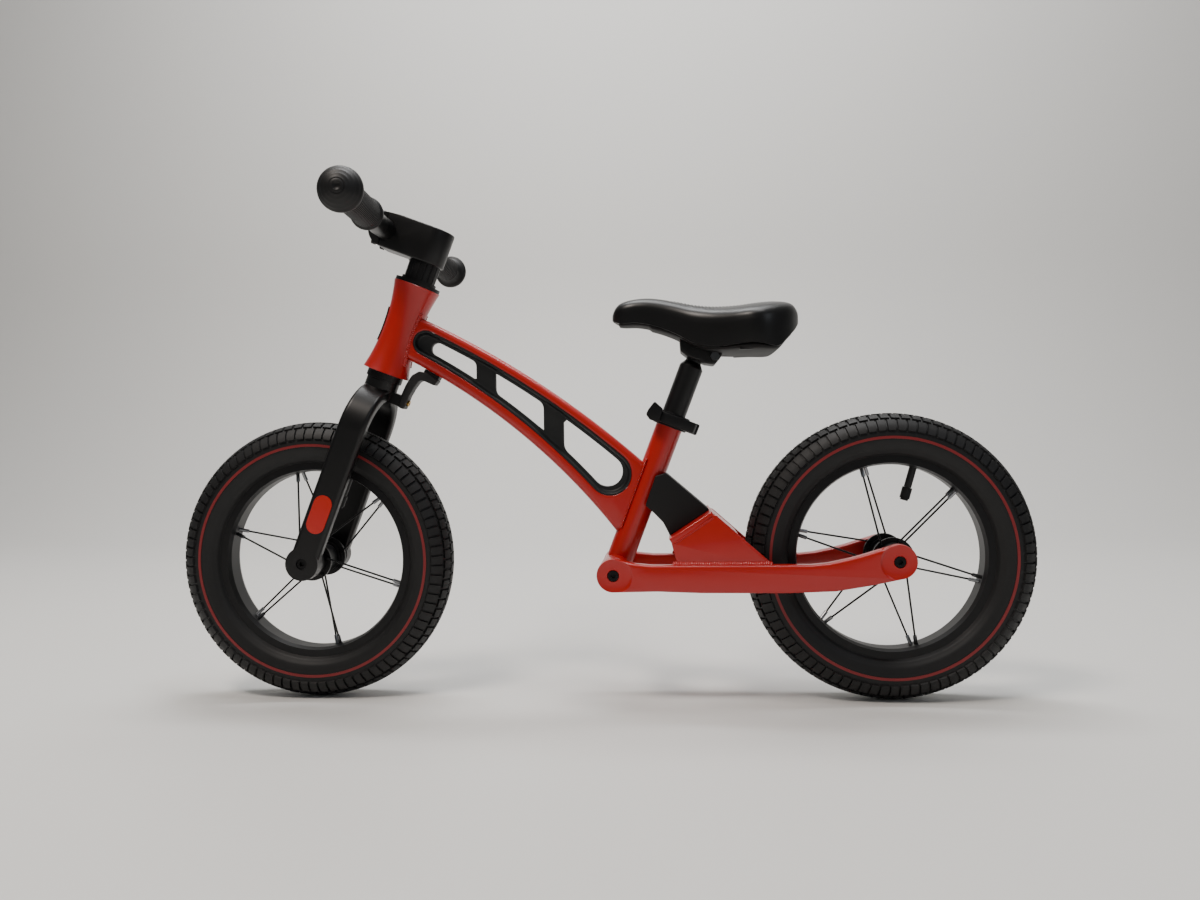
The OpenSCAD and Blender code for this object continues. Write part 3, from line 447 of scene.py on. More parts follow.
def beam_shell():
    """The beam as one closed skin round its opening."""
    loop = slot_outline(OPENING_FRONT_R, OPENING_REAR_R, OPENING_TOP, OPENING_LOW)
    outer = [reach(p, n) for p, n in loop]
    section = wall_section(1.2, 6.0, 11.0)
    bm = bmesh.new()
    nu, nv = len(loop), len(section)

    def place(u, v):
        i, j = round(u * nu) % nu, round(v * nv) % nv
        (p, n), q = loop[i], outer[i]
        share, offset, y = section[j]
        at = p + (q - p) * share + n * offset
        return at.x * MM, y * MM, at.y * MM

    skin(bm, place, nu, nv)
    return keep("beam_shell", bm, "frame", "red_paint", ["main_frame"], sharp=50)


beam = beam_shell()


# %% [markdown]
# ### Head tube, seat tube and pivot shell
# Each is a length of tube turned to its profile. The head tube is drawn in at its waist so that it is light but
# still wide at its two bearings.

# %% Tubes of the frame
def waist(s):
    """Radius of the head tube's hourglass at height s: 6 mm slimmer in the middle than 50 mm away."""
    big = (50.0 ** 2 + 6.0 ** 2) / 12
    return 19.5 + big - math.sqrt(big * big - (s - 268) ** 2)


def head_tube():
    """Hourglass head tube with its two rolled ends."""
    profile = [(16.5, 218), (20.5, 218), (25.1, 218), (25.5, 218.5)]
    for k in range(25):
        s = 221 + 94 * k / 24
        profile.append((waist(s), s))
    profile += [(25.5, 317.5), (25.1, 318), (20.5, 318), (20.5, 310), (16.5, 310)]
    return tube_piece("head_tube", "frame", "red_paint", STEER, profile, 72)


def tube_piece(name, body, slot, matrix, rings, steps=64, sharp=35, replaces=()):
    """A turned piece from a closed profile in mm."""
    bm = bmesh.new()
    turned(bm, metres(rings), steps)
    return keep(name, bm, body, slot, replaces, sharp=sharp, matrix=matrix)


head_tube()
tube_piece("seat_tube", "frame", "red_paint", SEAT,
           [(12.75, 22), (14.3, 12), (14.3, 175.6), (14, 176), (12.85, 176), (12.75, 175.6)])
tube_piece("pivot_shell", "frame", "red_paint", side(PIVOT[0], PIVOT[1]),
           [(8, -39.6), (16.4, -39.6), (17, -39.0), (17, 39.0), (16.4, 39.6), (8, 39.6)])


# %% [markdown]
# ### Welds
# A hand weld is a row of overlapping flattened drops. Each bead follows the line where two parts meet.

# %% Welds
def bead(name, body, points, normals, size, slot="red_paint", squash=0.55):
    """A weld of overlapping drops along a line in mm; normals point out of the joint."""
    bm = bmesh.new()
    for k, (p, n) in enumerate(zip(points, normals)):
        made = bmesh.ops.create_icosphere(bm, subdivisions=2, radius=size * MM)
        ahead = Vector(points[min(k + 1, len(points) - 1)]) - Vector(points[max(k - 1, 0)])
        n = Vector(n).normalized()
        along = ahead.normalized()
        across = n.cross(along).normalized()
        along = across.cross(n).normalized()
        turn = Matrix((along, across, n)).transposed().to_4x4()
        scale = Matrix.Diagonal((0.62, 1.0, squash, 1.0))
        bmesh.ops.transform(bm, matrix=Matrix.Translation(Vector(p) * MM) @ turn @ scale, verts=made["verts"])
    return keep(name, bm, body, slot, sharp=60)


def on_tube(matrix, radius, s, angle):
    """Point and outward normal on a tube about the frame's local Z, in mm."""
    r = radius
    here = matrix @ Vector((r * math.cos(angle) * MM, r * math.sin(angle) * MM, s * MM))
    out = matrix.to_3x3() @ Vector((math.cos(angle), math.sin(angle), 0))
    return here / MM, out


def seam(name, matrix, radius_of, s0, s1, half, facing, size, count):
    """Welds where a beam of half width half meets a tube: one bead along each side."""
    pts, nors = [], []
    for k in range(count):
        t = k / (count - 1)
        s = s0 + (s1 - s0) * t
        r = radius_of(s)
        a = math.asin(min(0.99, (half + 0.6) / r))
        for sign in (1, -1):
            p, n = on_tube(matrix, r, s, facing + sign * a)
            pts.append((sign, s, p, n))
    for sign in (1, -1):
        line = [(p, n) for g, s, p, n in pts if g == sign]
        bead(f"{name}_{'right' if sign > 0 else 'left'}", "frame", [p for p, n in line],
             [n + Vector((0, sign * 0.8, 0)) for p, n in line], size)


seam("head_weld", STEER, waist, 233, 291, 10.4, 0.0, 2.6, 26)
seam("seat_weld", SEAT, lambda s: 14.9, 46, 122, 10.3, math.pi, 2.2, 34)


# %% [markdown]
# ### Beam inserts
# Each insert is one moulding: a lip, a wall that curves down to a thin web, and three windows. The lip and
# wall are a skin, the web is filled between its outline and the windows' outlines, and the window edges
# are rolled through to the middle of the beam.

# %% Beam inserts
WINDOWS = [(6.95, 7.9, False, True), (9.35, 10.9, True, True), (13.8, 16.4, True, False)]


def window_outline(window, grow):
    """Outline of one window, drawn out by grow; the marked ends are upright with one tight corner."""
    r1, r2, front_up, rear_up = window
    dt, dl = 16 - grow, 18 - grow
    loop = slot_outline(r1 + grow, r2 + grow, dt, dl, 16, 20)
    c1, c2 = touch(r1 + grow, dt, dl), touch(r2 + grow, dt, dl)
    out = []
    for p, n in loop:
        for flag, c, k in ((front_up, c1, -1), (rear_up, c2, 1)):
            ray = p - c
            r = (r1 if k < 0 else r2) + grow
            if flag and abs(ray.length - r) < 1e-4 and ray.y * k <= 0:
                d = ray.normalized()
                line = r / abs(d.x) if d.x * k > 1e-3 else 1e9
                middle, radius = (LOW_C, LOW_R + dl) if k > 0 else (TOP_C, TOP_R - dt)
                b, q = (c - middle).dot(d), (c - middle).length_squared - radius * radius
                disc = b * b - q
                arc = (-b - math.sqrt(disc)) if k > 0 and disc > 0 else (-b + math.sqrt(max(disc, 0)))
                reach_to = min(line, arc if arc > 0 else 1e9)
                if reach_to < r * 2.5:
                    p = c + d * reach_to
        out.append(p)
    return out


def ring_strip(bm, loops):
    """Joins loops of equal length, given as 3-D points, with a band of quads."""
    n, m = len(loops[0]), len(loops) - 1

    def place(u, v):
        return loops[round(v * m)][round(u * n) % n]

    return skin(bm, place, n, m)


def beam_insert(name, sign, node):
    """One insert; sign is -1 on the near side and 1 on the far side."""
    bm = bmesh.new()
    wall = [(0.2, 10.2), (0.3, 10.6), (0.7, 10.8), (1.6, 10.8), (2.2, 10.5), (2.6, 9.6), (3.0, 7.6), (3.6, 5.6),
            (4.4, 4.3), (5.2, 3.75), (5.8, 3.6)]
    loops = []
    for d, y in wall:
        edge = slot_outline(OPENING_FRONT_R - d, OPENING_REAR_R - d, OPENING_TOP + d, OPENING_LOW + d, 44, 18)
        loops.append([Vector((p.x * MM, sign * y * MM, p.y * MM)) for p, n in edge])
    ring_strip(bm, loops)
    for window in WINDOWS:
        rims = []
        for grow, y in ((0.7, 3.6), (0.25, 3.45), (0.0, 3.0), (0.0, 0.05)):
            rims.append([Vector((p.x * MM, sign * y * MM, p.y * MM)) for p in window_outline(window, grow)])
        ring_strip(bm, rims)
    bmesh.ops.remove_doubles(bm, verts=bm.verts, dist=1e-6)
    level = sign * 3.6 * MM
    edges = [e for e in bm.edges if e.is_boundary and all(abs(v.co.y - level) < 1e-7 for v in e.verts)]
    bmesh.ops.triangle_fill(bm, use_beauty=True, use_dissolve=False, edges=edges)
    return keep(name, bm, "frame", "insert_plastic", [node], sharp=50)


beam_insert("insert_near", -1, "beam_insert_left")
beam_insert("insert_far", 1, "beam_insert_right")


# %% [markdown]
# ## Swingarm
# Two forged arms, a folded yoke between them and weld beads where the yoke stands on the arms. Each part is
# an outline with rolled rims; the bolt seats are cut out afterwards.

# %% Plates in mm and cut holes
def arc(c, r, a0, a1, n):
    """Points of an arc in mm, angles in degrees."""
    return [(c[0] + r * math.cos(math.radians(a0 + (a1 - a0) * k / n)),
             c[1] + r * math.sin(math.radians(a0 + (a1 - a0) * k / n))) for k in range(n + 1)]


def slab(name, body, slot, outline, low, high, bevel, segments=3, replaces=(), matrix=SIDE, sharp=40,
         both=False):
    """A plate from an outline in mm, rims rounded; both adds its mirror image across the bike's middle."""
    bm = bmesh.new()
    for flip in ((1, -1) if both else (1,)):
        verts = plate(bm, metres(outline), low * MM, high * MM, bevel * MM, segments, matrix)
        if flip < 0:
            bmesh.ops.transform(bm, matrix=MIRROR, verts=verts)
    return keep(name, bm, body, slot, replaces, sharp=sharp)


def cut(obj, bm, operation="DIFFERENCE"):
    """Takes the shape in bm out of obj, or keeps only what lies in it, for good."""
    mesh = bpy.data.meshes.new("cutter")
    bmesh.ops.recalc_face_normals(bm, faces=bm.faces)
    bm.to_mesh(mesh)
    bm.free()
    tool = bpy.data.objects.new("cutter", mesh)
    bpy.context.scene.collection.objects.link(tool)
    mod = obj.modifiers.new("cut", "BOOLEAN")
    mod.object, mod.operation, mod.solver = tool, operation, "EXACT"
    made = bpy.data.meshes.new_from_object(obj.evaluated_get(bpy.context.evaluated_depsgraph_get()))
    obj.modifiers.clear()
    old = obj.data
    obj.data = made
    made.name = obj.name
    bpy.data.objects.remove(tool)
    bpy.data.meshes.remove(old)
    bm2 = bmesh.new()
    bm2.from_mesh(made)
    for f in bm2.faces:
        f.smooth = True
    for e in bm2.edges:
        e.smooth = e.calc_face_angle(0) < math.radians(40)
    bm2.to_mesh(made)
    bm2.free()
    return obj


def rod_shape(matrix, r, low, high):
    """A rod in mm about a frame's local Z, for cutting."""
    bm = bmesh.new()
    bmesh.ops.create_cone(bm, cap_ends=True, segments=64, radius1=r * MM, radius2=r * MM,
                          depth=(high - low) * MM,
                          matrix=matrix @ Matrix.Translation((0, 0, (low + high) / 2 * MM)))
    return bm


cut(beam, rod_shape(STEER, 18, 215, 322))
cut(beam, rod_shape(SEAT, 13.3, 10, 178))


# %% [markdown]
# ### Arms
# Each arm is one thick plate that widens at the pivot and at the axle. It is drawn out from its outline with
# rolled rims, and the seats of its screws are turned shapes cut out of it.

# %% Arms
def arm_outline():
    low = [(66, 121.2), (110, 119.6), (155, 119.5), (200, 119.5), (245, 121.2), (278, 126.6)]
    high = [(288, 162.6), (272, 157.6), (256, 153.4), (238, 149.6), (222, 148), (140, 148), (60, 148),
            (44, 149.6)]
    return arc(PIVOT_MM, 17.2, 62, 268, 40) + low + arc((308, 150.5), 17.5, -82, 112, 40) + high


PIVOT_MM = (20.5, 137.5)
arms = slab("swing_arms", "rear_swingarm", "red_paint", arm_outline(), 40, 54, 3.0, 4, ["swingarm"], both=True)
# thread hole, screw seat and the shallow dish round it, as (radius, distance from the bike's middle)
SCREW_SEAT = [(0, 0.036), (0.0046, 0.036), (0.0046, 0.048), (0.0058, 0.048), (0.0058, 0.0519),
              (0.0063, 0.0525), (0.0166, 0.0525), (0.0185, 0.0529), (0.0205, 0.0546), (0.0205, 0.058),
              (0, 0.058)]
seat_cut = bmesh.new()
for x, z in ((308, 150.5), PIVOT_MM):
    for sign in (-1, 1):
        flip = MIRROR if sign > 0 else Matrix.Identity(4)
        turned(seat_cut, SCREW_SEAT, 48, flip @ side(x * MM, z * MM))
cut(arms, seat_cut)

# %% [markdown]
# ### Yoke
# Side plates stand on the arms and carry a front plate, which takes the elastomer's push.

# %% Yoke
slab("yoke_sides", "rear_swingarm", "red_paint",
     rounded([(88, 143), (82.5, 162), (80.4, 170.6), (121.6, 198.5), (126, 198.7), (181.5, 149.4),
              (181.5, 143)],
             [0, 8, 1.5, 2, 4, 1, 0], 4), 43.2, 48, 1.1, 3, both=True)
slab("yoke_front", "rear_swingarm", "red_paint", [(78, 174.3), (121.5, 202.5), (125, 197), (81.5, 168.8)],
     -48, 48, 1.6, 4)
slab("yoke_top", "rear_swingarm", "red_paint", [(120, 199.6), (124.4, 199.4), (149.5, 177.2), (147, 174.6)],
     -43.4, 43.4, 0.5, 1)
slab("yoke_brace", "rear_swingarm", "red_paint", [(82, 172.2), (86, 174.6), (92, 152), (88, 150)],
     -43.4, 43.4, 0.5, 1)


def weld_line(name, body, a, b, y, normal, size, count, wobble=0.35):
    """A bead along a straight line in the side view, in mm, slightly uneven as hand work is."""
    pts, nors = [], []
    for k in range(count):
        t = k / (count - 1)
        off = wobble * math.sin(k * 1.7) * math.cos(k * 0.9)
        pts.append(Vector((a[0] + (b[0] - a[0]) * t, y, a[1] + (b[1] - a[1]) * t + off)))
        nors.append(Vector(normal))
    return bead(name, body, pts, nors, size)


for sign, word in ((-1, "near"), (1, "far")):
    weld_line(f"yoke_weld_{word}", "rear_swingarm", (83, 148.6), (181, 148.6), sign * 48.6,
              (0, sign * 0.8, 0.6), 3.3, 44)
    weld_line(f"yoke_edge_weld_{word}", "rear_swingarm", (84, 169.5), (123, 195.2), sign * 47.6,
              (0.4, sign * 1.0, -0.4), 1.4, 34, 0.1)

# %% [markdown]
# ### Elastomer
# A moulded rubber block between the yoke and the seat tube. It is hollowed round the tube, and it bends between
# the two bodies, so it rides on neither and its placement is baked into its mesh.

# %% Elastomer
elastomer_outline = rounded([(53.5, 207), (64.5, 238), (75.5, 241), (120.6, 201.9), (79, 175.1), (72, 189),
                             (62, 199.5)], [3, 3, 3, 1, 1, 6, 6], 4)
elastomer = slab("elastomer_block", None, "elastomer_rubber", elastomer_outline, -20, 20, 2.4, 4, ["elastomer"])
cut(elastomer, rod_shape(SEAT, 14.45, 40, 176))
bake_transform(elastomer)


# %% [markdown]
# ## Seat
# Saddle: a foam cushion under a stitched cover, a ribbed strip let into its middle, a moulded shell below it
# and the clamp housing that grips the post's neck.

# %% Saddle outline
def table(points, x):
    """Smooth value between (x, value) stations."""
    if x <= points[0][0]:
        return points[0][1]
    for k in range(len(points) - 1):
        (x0, y0), (x1, y1) = points[k], points[k + 1]
        if x <= x1:
            before = points[k - 1] if k else (2 * x0 - x1, 2 * y0 - y1)
            after = points[k + 2] if k + 2 < len(points) else (2 * x1 - x0, 2 * y1 - y0)
            m0, m1 = (y1 - before[1]) / (x1 - before[0]), (after[1] - y0) / (after[0] - x0)
            t, h = (x - x0) / (x1 - x0), x1 - x0
            return (y0 * (2 * t ** 3 - 3 * t * t + 1) + m0 * h * (t ** 3 - 2 * t * t + t)
                    + y1 * (3 * t * t - 2 * t ** 3) + m1 * h * (t ** 3 - t * t))
    return points[-1][1]


CREST = [(20, 413), (24, 419), (32, 423.6), (44, 426.4), (58, 427.2), (72, 425.8), (88, 422.6), (107, 418.2),
         (128, 415.6), (150, 415.4), (171, 417.6), (190, 419.2), (203, 418.4), (211, 415.5), (217, 410)]
SKIRT = [(20, 402), (30, 399.6), (48, 399.2), (64, 396), (81, 389.6), (93, 383.4), (105, 376.4), (120, 371.9),
         (135, 370.4), (150, 371.6), (162, 372.6), (174, 371.6), (186, 368.9), (194, 370.6), (202, 379),
         (209, 386), (217, 395)]
WIDTH = [(20, 0), (21.4, 7.4), (24.5, 11.8), (30, 16.2), (38, 19.1), (50, 20.3), (66, 21.4), (80, 23.4),
         (95, 27.4), (110, 33.4), (125, 41), (140, 49.6), (152, 56.2), (163, 60.3), (174, 60.6),
         (184, 57.4), (194, 50.6), (203, 41.2), (210, 30), (215, 16.5), (217, 0)]
SX0, SX1 = 20.3, 216.8


def along_saddle(u):
    return SX0 + (SX1 - SX0) * (0.5 - 0.5 * math.cos(math.pi * u))


def half_width(x):
    return max(0.0, table(WIDTH, x))


def cover_at(x, a, grow=0.0):
    """Point of the cover at station x; a is 0 on the crest, pi/2 at the widest line, pi at the middle below."""
    w = half_width(x)
    top, low = table(CREST, x), table(SKIRT, x)
    tip = min(1.0, (x - SX0) / 9.0, (SX1 - x) / 9.0)
    soft = math.sqrt(max(0.0, 1 - (1 - max(0.0, tip)) ** 2))
    wide = low + (top - low) * (0.36 + 0.06 * soft)
    top = wide + (top - wide) * (0.35 + 0.65 * soft)
    low = wide + (low - wide) * (0.35 + 0.65 * soft)
    s, c = math.sin(a), math.cos(a)
    if c >= 0:
        power = 0.78 - 0.16 * min(1.0, w / 50)
        y = w * abs(s) ** 0.86
        z = wide + (top - wide) * abs(c) ** power
    else:
        y = w * (0.94 + 0.06 * abs(s)) if abs(c) < 0.72 else w * 0.945 * abs(s) / 0.694
        z = wide - (wide - low) * min(1.0, abs(c) / 0.72) ** 1.15
        if abs(c) >= 0.72:
            z = low + 2.2 * (abs(c) - 0.72) / 0.28
    return y * (1 if s >= 0 else -1), z


def saddle_cover():
    bm = bmesh.new()
    nu, nv = 96, 112

    def place(u, v):
        x = along_saddle(u)
        a = 2 * math.pi * v
        y, z = cover_at(x, a if a <= math.pi else a - 2 * math.pi)
        inlay = abs(y) < half_width(x) * 0.45 and 82 < x < 196 and math.cos(a) > 0.3
        dip = 0.9 if inlay else 0.0
        stitch = math.exp(-((abs(abs(a - math.pi) - math.pi * 0.545)) / 0.028) ** 2) * 0.7
        return x * MM, y * MM * (1 - stitch * 0.012), (z - dip) * MM

    skin(bm, place, nu, nv)
    obj = keep("saddle_cushion", bm, "seat", "saddle_cover", ["saddle_pad"], sharp=60)
    return obj


saddle_cover()


def saddle_inlay():
    """Ribbed strip let into the top of the cover."""
    bm = bmesh.new()
    nu, nv = 260, 30

    def place(u, v):
        x = 80 + 118 * u
        side_at = (v - 0.5) * 2
        ends = math.sqrt(max(0.0, 1 - (2 * u - 1) ** 6))
        want = half_width(x) * (0.5 + 0.34 * math.exp(-((x - 112) / 30) ** 2)) * side_at * ends
        lo, hi = 0.0, math.pi / 2
        for _ in range(24):
            mid = (lo + hi) / 2
            if cover_at(x, mid)[0] < abs(want):
                lo = mid
            else:
                hi = mid
        z = cover_at(x, lo)[1]
        edge = 1 - max(abs(side_at) ** 10, abs(2 * u - 1) ** 14)
        rib = 0.4 * math.sin(x / 3.6 * 2 * math.pi)
        return x * MM, want * MM, (z - 0.7 + edge * (1.0 + rib)) * MM

    skin(bm, place, nu, nv)
    return keep("saddle_inlay", bm, "seat", "saddle_cover", sharp=70)


saddle_inlay()

# %% Saddle shell and housing
FLOOR_Z = [(60, 393), (75, 388.5), (90, 382.5), (105, 374), (118, 368.6), (132, 366.2), (150, 365.6),
           (170, 365.2), (184, 365), (190, 366), (196, 371), (203, 380), (209, 387)]


def saddle_shell():
    """Moulded shell that closes the saddle below, drawn in from the cover and rounded at its foot."""
    bm = bmesh.new()
    nu, nv = 72, 60

    def place(u, v):
        x = 28 + (206 - 28) * (0.5 - 0.5 * math.cos(math.pi * u))
        w = max(0.0, half_width(x) - 3.4)
        top = table(SKIRT, x) + 3.0
        low = min(table(FLOOR_Z, x), top - 4.0) if x > 60 else top - 5.5
        a = 2 * math.pi * v
        s, c = math.sin(a), math.cos(a)
        y = w * (abs(s) ** 0.5) * (1.0 if c > 0 else 0.97 + 0.03 * abs(s))
        z = (top + low) / 2 + (top - low) / 2 * (abs(c) ** 0.35) * (1 if c > 0 else -1)
        if c < 0:
            y *= 1 - 0.3 * abs(c) ** 0.8
        return x * MM, y * (1 if s >= 0 else -1) * MM, z * MM

    skin(bm, place, nu, nv)
    return keep("saddle_shell", bm, "seat", "base_plastic", ["saddle_base"], sharp=50)


saddle_shell()
slab("saddle_housing", "seat", "trim_plastic",
     rounded([(91.5, 385.2), (92.6, 369.3), (99.7, 363.4), (118.2, 355.8), (128, 354.3), (135.2, 362.6),
              (138.5, 371.4), (110, 379.4)], [0, 3, 4, 6, 3, 3, 0, 0], 5), -17, 17, 2.4, 4, ["saddle_clamp"])
# Painted shade: a dark plate on each side of the shell stands in for the shaded opening of the shell's window,
# which is not cut.
slab("shell_window_painted_shade", "seat", "trim_plastic",
     rounded([(151, 371), (178, 371.5), (176, 367), (152, 366.4)], 1.0, 3), 46, 50.6, 0.4, 1, both=True)


# %% [markdown]
# ## Grips, stem and seat clamp
# Grips are moulded rubber sleeves: thin rings along the hand part, a guard disc, and a thick safety knob
# with rings and a dimple on its end.

# %% Grips
SWEEP = math.radians(6.8)
BAR_END = (Matrix.Translation((-0.048 + 0.1585 * math.tan(SWEEP), 0.2025, 0.3632))
           @ Matrix.Rotation(-math.pi / 2, 4, "X") @ Matrix.Rotation(SWEEP, 4, "Y"))


def grip(name, matrix, node):
    """Sleeve, guard disc and domed knob, turned from one profile in mm; 0 is the inner face of the knob."""
    profile = [(11.2, -108), (15.6, -108), (16.4, -107.2), (16.5, -105.6), (16.4, -104.4), (15.6, -103.6),
               (14.6, -103)]
    z = -100.0
    while z < -10:
        profile += [(13.5, z - 1.3), (14.4, z - 0.9), (14.4, z + 0.9), (13.5, z + 1.3)]
        z += 4.5
    profile += [(14.2, -8.5), (15.6, -6.0), (17.6, -4.2), (19.3, -3.6), (20.3, -2.4), (20.5, -0.6)]
    for k in range(15):
        z = 1.0 + 12.6 * math.sin(math.pi / 2 * (k + 1) / 15)
        r = math.sqrt(max(0.0, 22.3 ** 2 - (z + 7.8) ** 2))
        step = 0.35 if k % 3 == 1 else 0.0
        profile.append((min(20.5, r) - step, z - step))
    profile += [(5.4, 14.2), (3.9, 14.4), (3.0, 13.6), (1.4, 13.0), (0, 12.9), (0, 0.3), (11.2, 0.3)]
    return tube_piece(name, "steering", "grip_rubber", matrix, profile, 48, 38, [node])


grip("grip_far", STEER @ BAR_END, "grip_right")
grip("grip_near", MIRROR @ STEER @ BAR_END, "grip_left")


# %% [markdown]
# ### Stem
# A block clamped to the steerer behind and to the bar in front. It is a plate cut to a rounded side view,
# and its bores, screw seats and faceplate gap are then cut out.

# %% Stem
def stem_body():
    """One smooth block: rounded over the bar in front, round about the steerer behind."""
    bm = bmesh.new()
    along = Matrix.Translation((0, 0, 0.3445))
    plan = arc((0, 0), 20, -90, 90, 28) + [(-66.5, 20), (-66.5, -20)]
    plate(bm, metres(plan), 0, 0.039, 0.0016, 3, STEER @ along)
    body = keep("stem_body", bm, "steering", "black_paint", ["stem", "stem_faceplate"], sharp=45)
    shape = bmesh.new()
    front = arc((-48, 363.2), 18.8, 262, 92, 24)
    outline = front + [(30, 390), (30, 338)]
    plate(shape, metres(outline), -0.03, 0.03, 0, 1,
          STEER @ Matrix.Rotation(math.pi / 2, 4, "X"))
    cut(body, shape, "INTERSECT")
    holes = bmesh.new()
    turned(holes, [(0.0144, 0.33), (0.0144, 0.3803), (0.0178, 0.3803), (0.0178, 0.40), (0, 0.40), (0, 0.33)],
           64, STEER)
    turned(holes, [(0.0112, -0.03), (0.0112, 0.03), (0, 0.03), (0, -0.03)], 48,
           STEER @ Matrix.Translation((-0.048, 0, 0.3632)) @ Matrix.Rotation(math.pi / 2, 4, "X"))
    for y in (-14.5, 14.5):
        for z in (348.4, 378.0):
            turned(holes, [(0.0046, -0.02), (0.0046, 0.001), (0.0026, 0.001), (0.0026, 0.018), (0, 0.018),
                           (0, -0.02)], 24,
                   STEER @ Matrix.Translation((-0.056, y * MM, z * MM)) @ Matrix.Rotation(math.pi / 2, 4, "Y"))
    for z in (355.5, 372.5):
        turned(holes, [(0.0046, -0.006), (0.0046, 0), (0.0026, 0), (0.0026, 0.02), (0, 0.02), (0, -0.006)],
               24, STEER @ Matrix.Translation((-0.022, 0.016, z * MM)) @ Matrix.Rotation(math.pi / 2, 4, "X"))
    cut(body, holes)
    split = bmesh.new()
    bmesh.ops.create_cube(split, size=1.0)
    bmesh.ops.transform(split, matrix=STEER @ Matrix.Translation((-0.0499, 0, 0.3632))
                        @ Matrix.Diagonal((0.0007, 0.06, 0.06, 1)), verts=split.verts)
    cut(body, split)


stem_body()


# %% [markdown]
# ### Seat clamp
# A split band with two ears, closed by a lever. The ears are small bevelled blocks beside the turned band.

# %% Seat clamp
def clamp_parts():
    bm = bmesh.new()
    ring = [(14.4, 163.4), (17.8, 163), (18.4, 163.6), (18.4, 177.4), (17.8, 178), (12.9, 178), (12.9, 176.3),
            (14.4, 176.3)]
    turned(bm, metres(ring), 64, SEAT)
    for y0, y1 in ((-8.5, -1.2), (1.2, 8.5)):
        made = bmesh.ops.create_cube(bm, size=1.0)
        bmesh.ops.transform(bm, matrix=SEAT @ Matrix.Translation((0.0232, (y0 + y1) / 2 * MM, 0.1705))
                            @ Matrix.Diagonal((0.0136, (y1 - y0) * MM, 0.012, 1)), verts=made["verts"])
        bmesh.ops.bevel(bm, geom=list({e for v in made["verts"] for e in v.link_edges}), offset=0.0016,
                        offset_type="OFFSET", segments=3, profile=0.5, affect="EDGES", material=-1)
    return keep("seat_clamp_band", bm, "frame", "black_alloy", ["seat_clamp"], sharp=40)


clamp_parts()
lever = rounded([(27, -17), (24.5, -22.6), (9.5, -24.4), (-6.5, -23.6), (-14, -22.4), (-21, -21), (-21, -17.5),
                 (-14, -17.2), (-6.5, -18.6), (9, -19.4), (16, -17.2), (18, -11), (27, -11)],
                [4, 6, 20, 20, 8, 1, 1, 8, 14, 12, 4, 2, 2], 4)
slab("clamp_lever_grip", "lever", "black_alloy", lever, 165.0, 176.2, 1.5, 3, ["clamp_lever"], matrix=SEAT)
slab("clamp_lever_end", "lever", "black_alloy",
     rounded([(-11.6, 164.6), (-14, 163.6), (-21.6, 163.2), (-27.2, 167), (-26.6, 173), (-23.4, 183),
              (-12.4, 178.6)], [1, 1, 3, 3, 3, 1.6, 2], 4), -16, -26, 1.6, 3,
     matrix=SEAT @ Matrix.Rotation(math.pi / 2, 4, "X") @ Matrix.Scale(-1, 4, (0, 0, 1)))

# %% [markdown]
# ### Limiter strap
# A moulded rubber band from the beam to the fork. It limits the steering and bends with it, so it rides on no
# body and its placement is baked into its mesh.

# %% Strap
strap = slab("limiter_band", None, "strap_rubber",
             rounded([(-169.8, 343.6), (-182.6, 352.4), (-190.5, 354.4), (-199, 350), (-205.6, 340),
                      (-210.4, 330.3), (-215.4, 316), (-208.4, 313), (-202.6, 327.2), (-197.4, 335.6),
                      (-191.8, 342.8), (-188.3, 344.4), (-184.9, 343.2), (-174.3, 338.3)],
                     [1, 6, 6, 8, 12, 12, 2, 2, 12, 10, 5, 4, 5, 2], 5), -7, 7, 1.8, 4, ["limiter_strap"])
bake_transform(strap)


# %% [markdown]
# ## Stage, light and camera
# Pale floor, soft studio light, and the camera low at the near side, just behind the middle of the bike.

# %% Stage
floor_bm = bmesh.new()


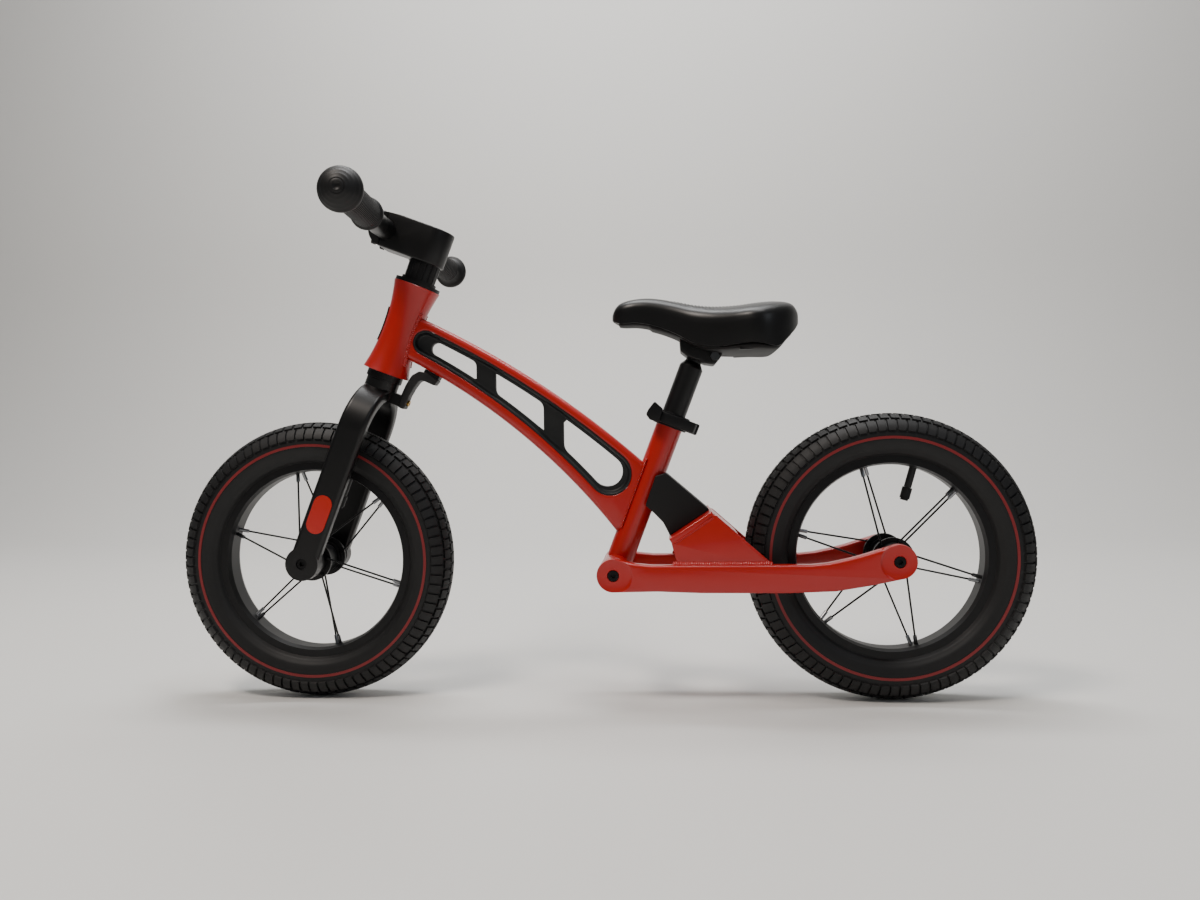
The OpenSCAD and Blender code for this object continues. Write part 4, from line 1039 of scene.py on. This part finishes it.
def sweep(u, v):
    """Floor that curves up into a tall backdrop."""
    bend = 0.9
    run = v * (4.6 + bend * math.pi / 2 + 4.0)
    if run <= 4.6:
        return (u - 0.5) * 12, run - 3.2, 0.0
    turn = min((run - 4.6) / bend, math.pi / 2)
    climb = max(0.0, run - 4.6 - bend * math.pi / 2)
    return (u - 0.5) * 12, 1.4 + bend * math.sin(turn), bend * (1 - math.cos(turn)) + climb


skin(floor_bm, sweep, 4, 90)
for f in floor_bm.faces:
    f.smooth = True
floor_mesh = bpy.data.meshes.new("floor")
floor_bm.to_mesh(floor_mesh)
floor_bm.free()
floor = bpy.data.objects.new("floor", floor_mesh)
bpy.context.scene.collection.objects.link(floor)
floor_mesh.materials.append(surface_material("pale floor", "#d9d8d5", 0.6))


def lamp(name, place, aim, size, power, colour="#ffffff"):
    data = bpy.data.lights.new(name, "AREA")
    data.shape = "RECTANGLE"
    data.size, data.size_y = size
    data.energy = power
    data.color = linear(colour)[:3]
    obj = bpy.data.objects.new(name, data)
    obj.location = place
    obj.rotation_mode = "QUATERNION"
    obj.rotation_quaternion = (Vector(aim) - Vector(place)).to_track_quat("-Z", "Y")
    bpy.context.scene.collection.objects.link(obj)


lamp("key", (-0.9, -1.1, 2.5), (0, 0, 0.25), (0.8, 0.5), 44, "#fff4ea")
lamp("fill", (1.9, -1.7, 1.5), (0, 0, 0.25), (0.9, 0.7), 5, "#eef4ff")
lamp("top", (0.1, 0.1, 2.4), (0, 0, 0.2), (1.8, 0.5), 34)
lamp("wall", (0.0, 0.9, 3.0), (0, 2.3, 1.0), (3.0, 0.5), 70)
world = bpy.data.worlds.new("soft sky")
world.use_nodes = True
world.node_tree.nodes["Background"].inputs["Color"].default_value = linear("#eef0f2")
world.node_tree.nodes["Background"].inputs["Strength"].default_value = 0.14
bpy.context.scene.world = world

# %% Camera
camera_data = bpy.data.cameras.new("camera")
camera_data.lens = 27.57
camera_data.sensor_width = 36.0
camera = bpy.data.objects.new("camera", camera_data)
right = Vector((0.99688, 0.07762, -0.01442))
up = Vector((0.01341, 0.01355, 0.99982))
back = right.cross(up).normalized()
up = back.cross(right).normalized()
turn = Matrix((right, up, back)).transposed().to_4x4()
camera.matrix_world = Matrix.Translation((0.0820, -0.9884, 0.2783)) @ turn
bpy.context.scene.collection.objects.link(camera)
bpy.context.scene.camera = camera
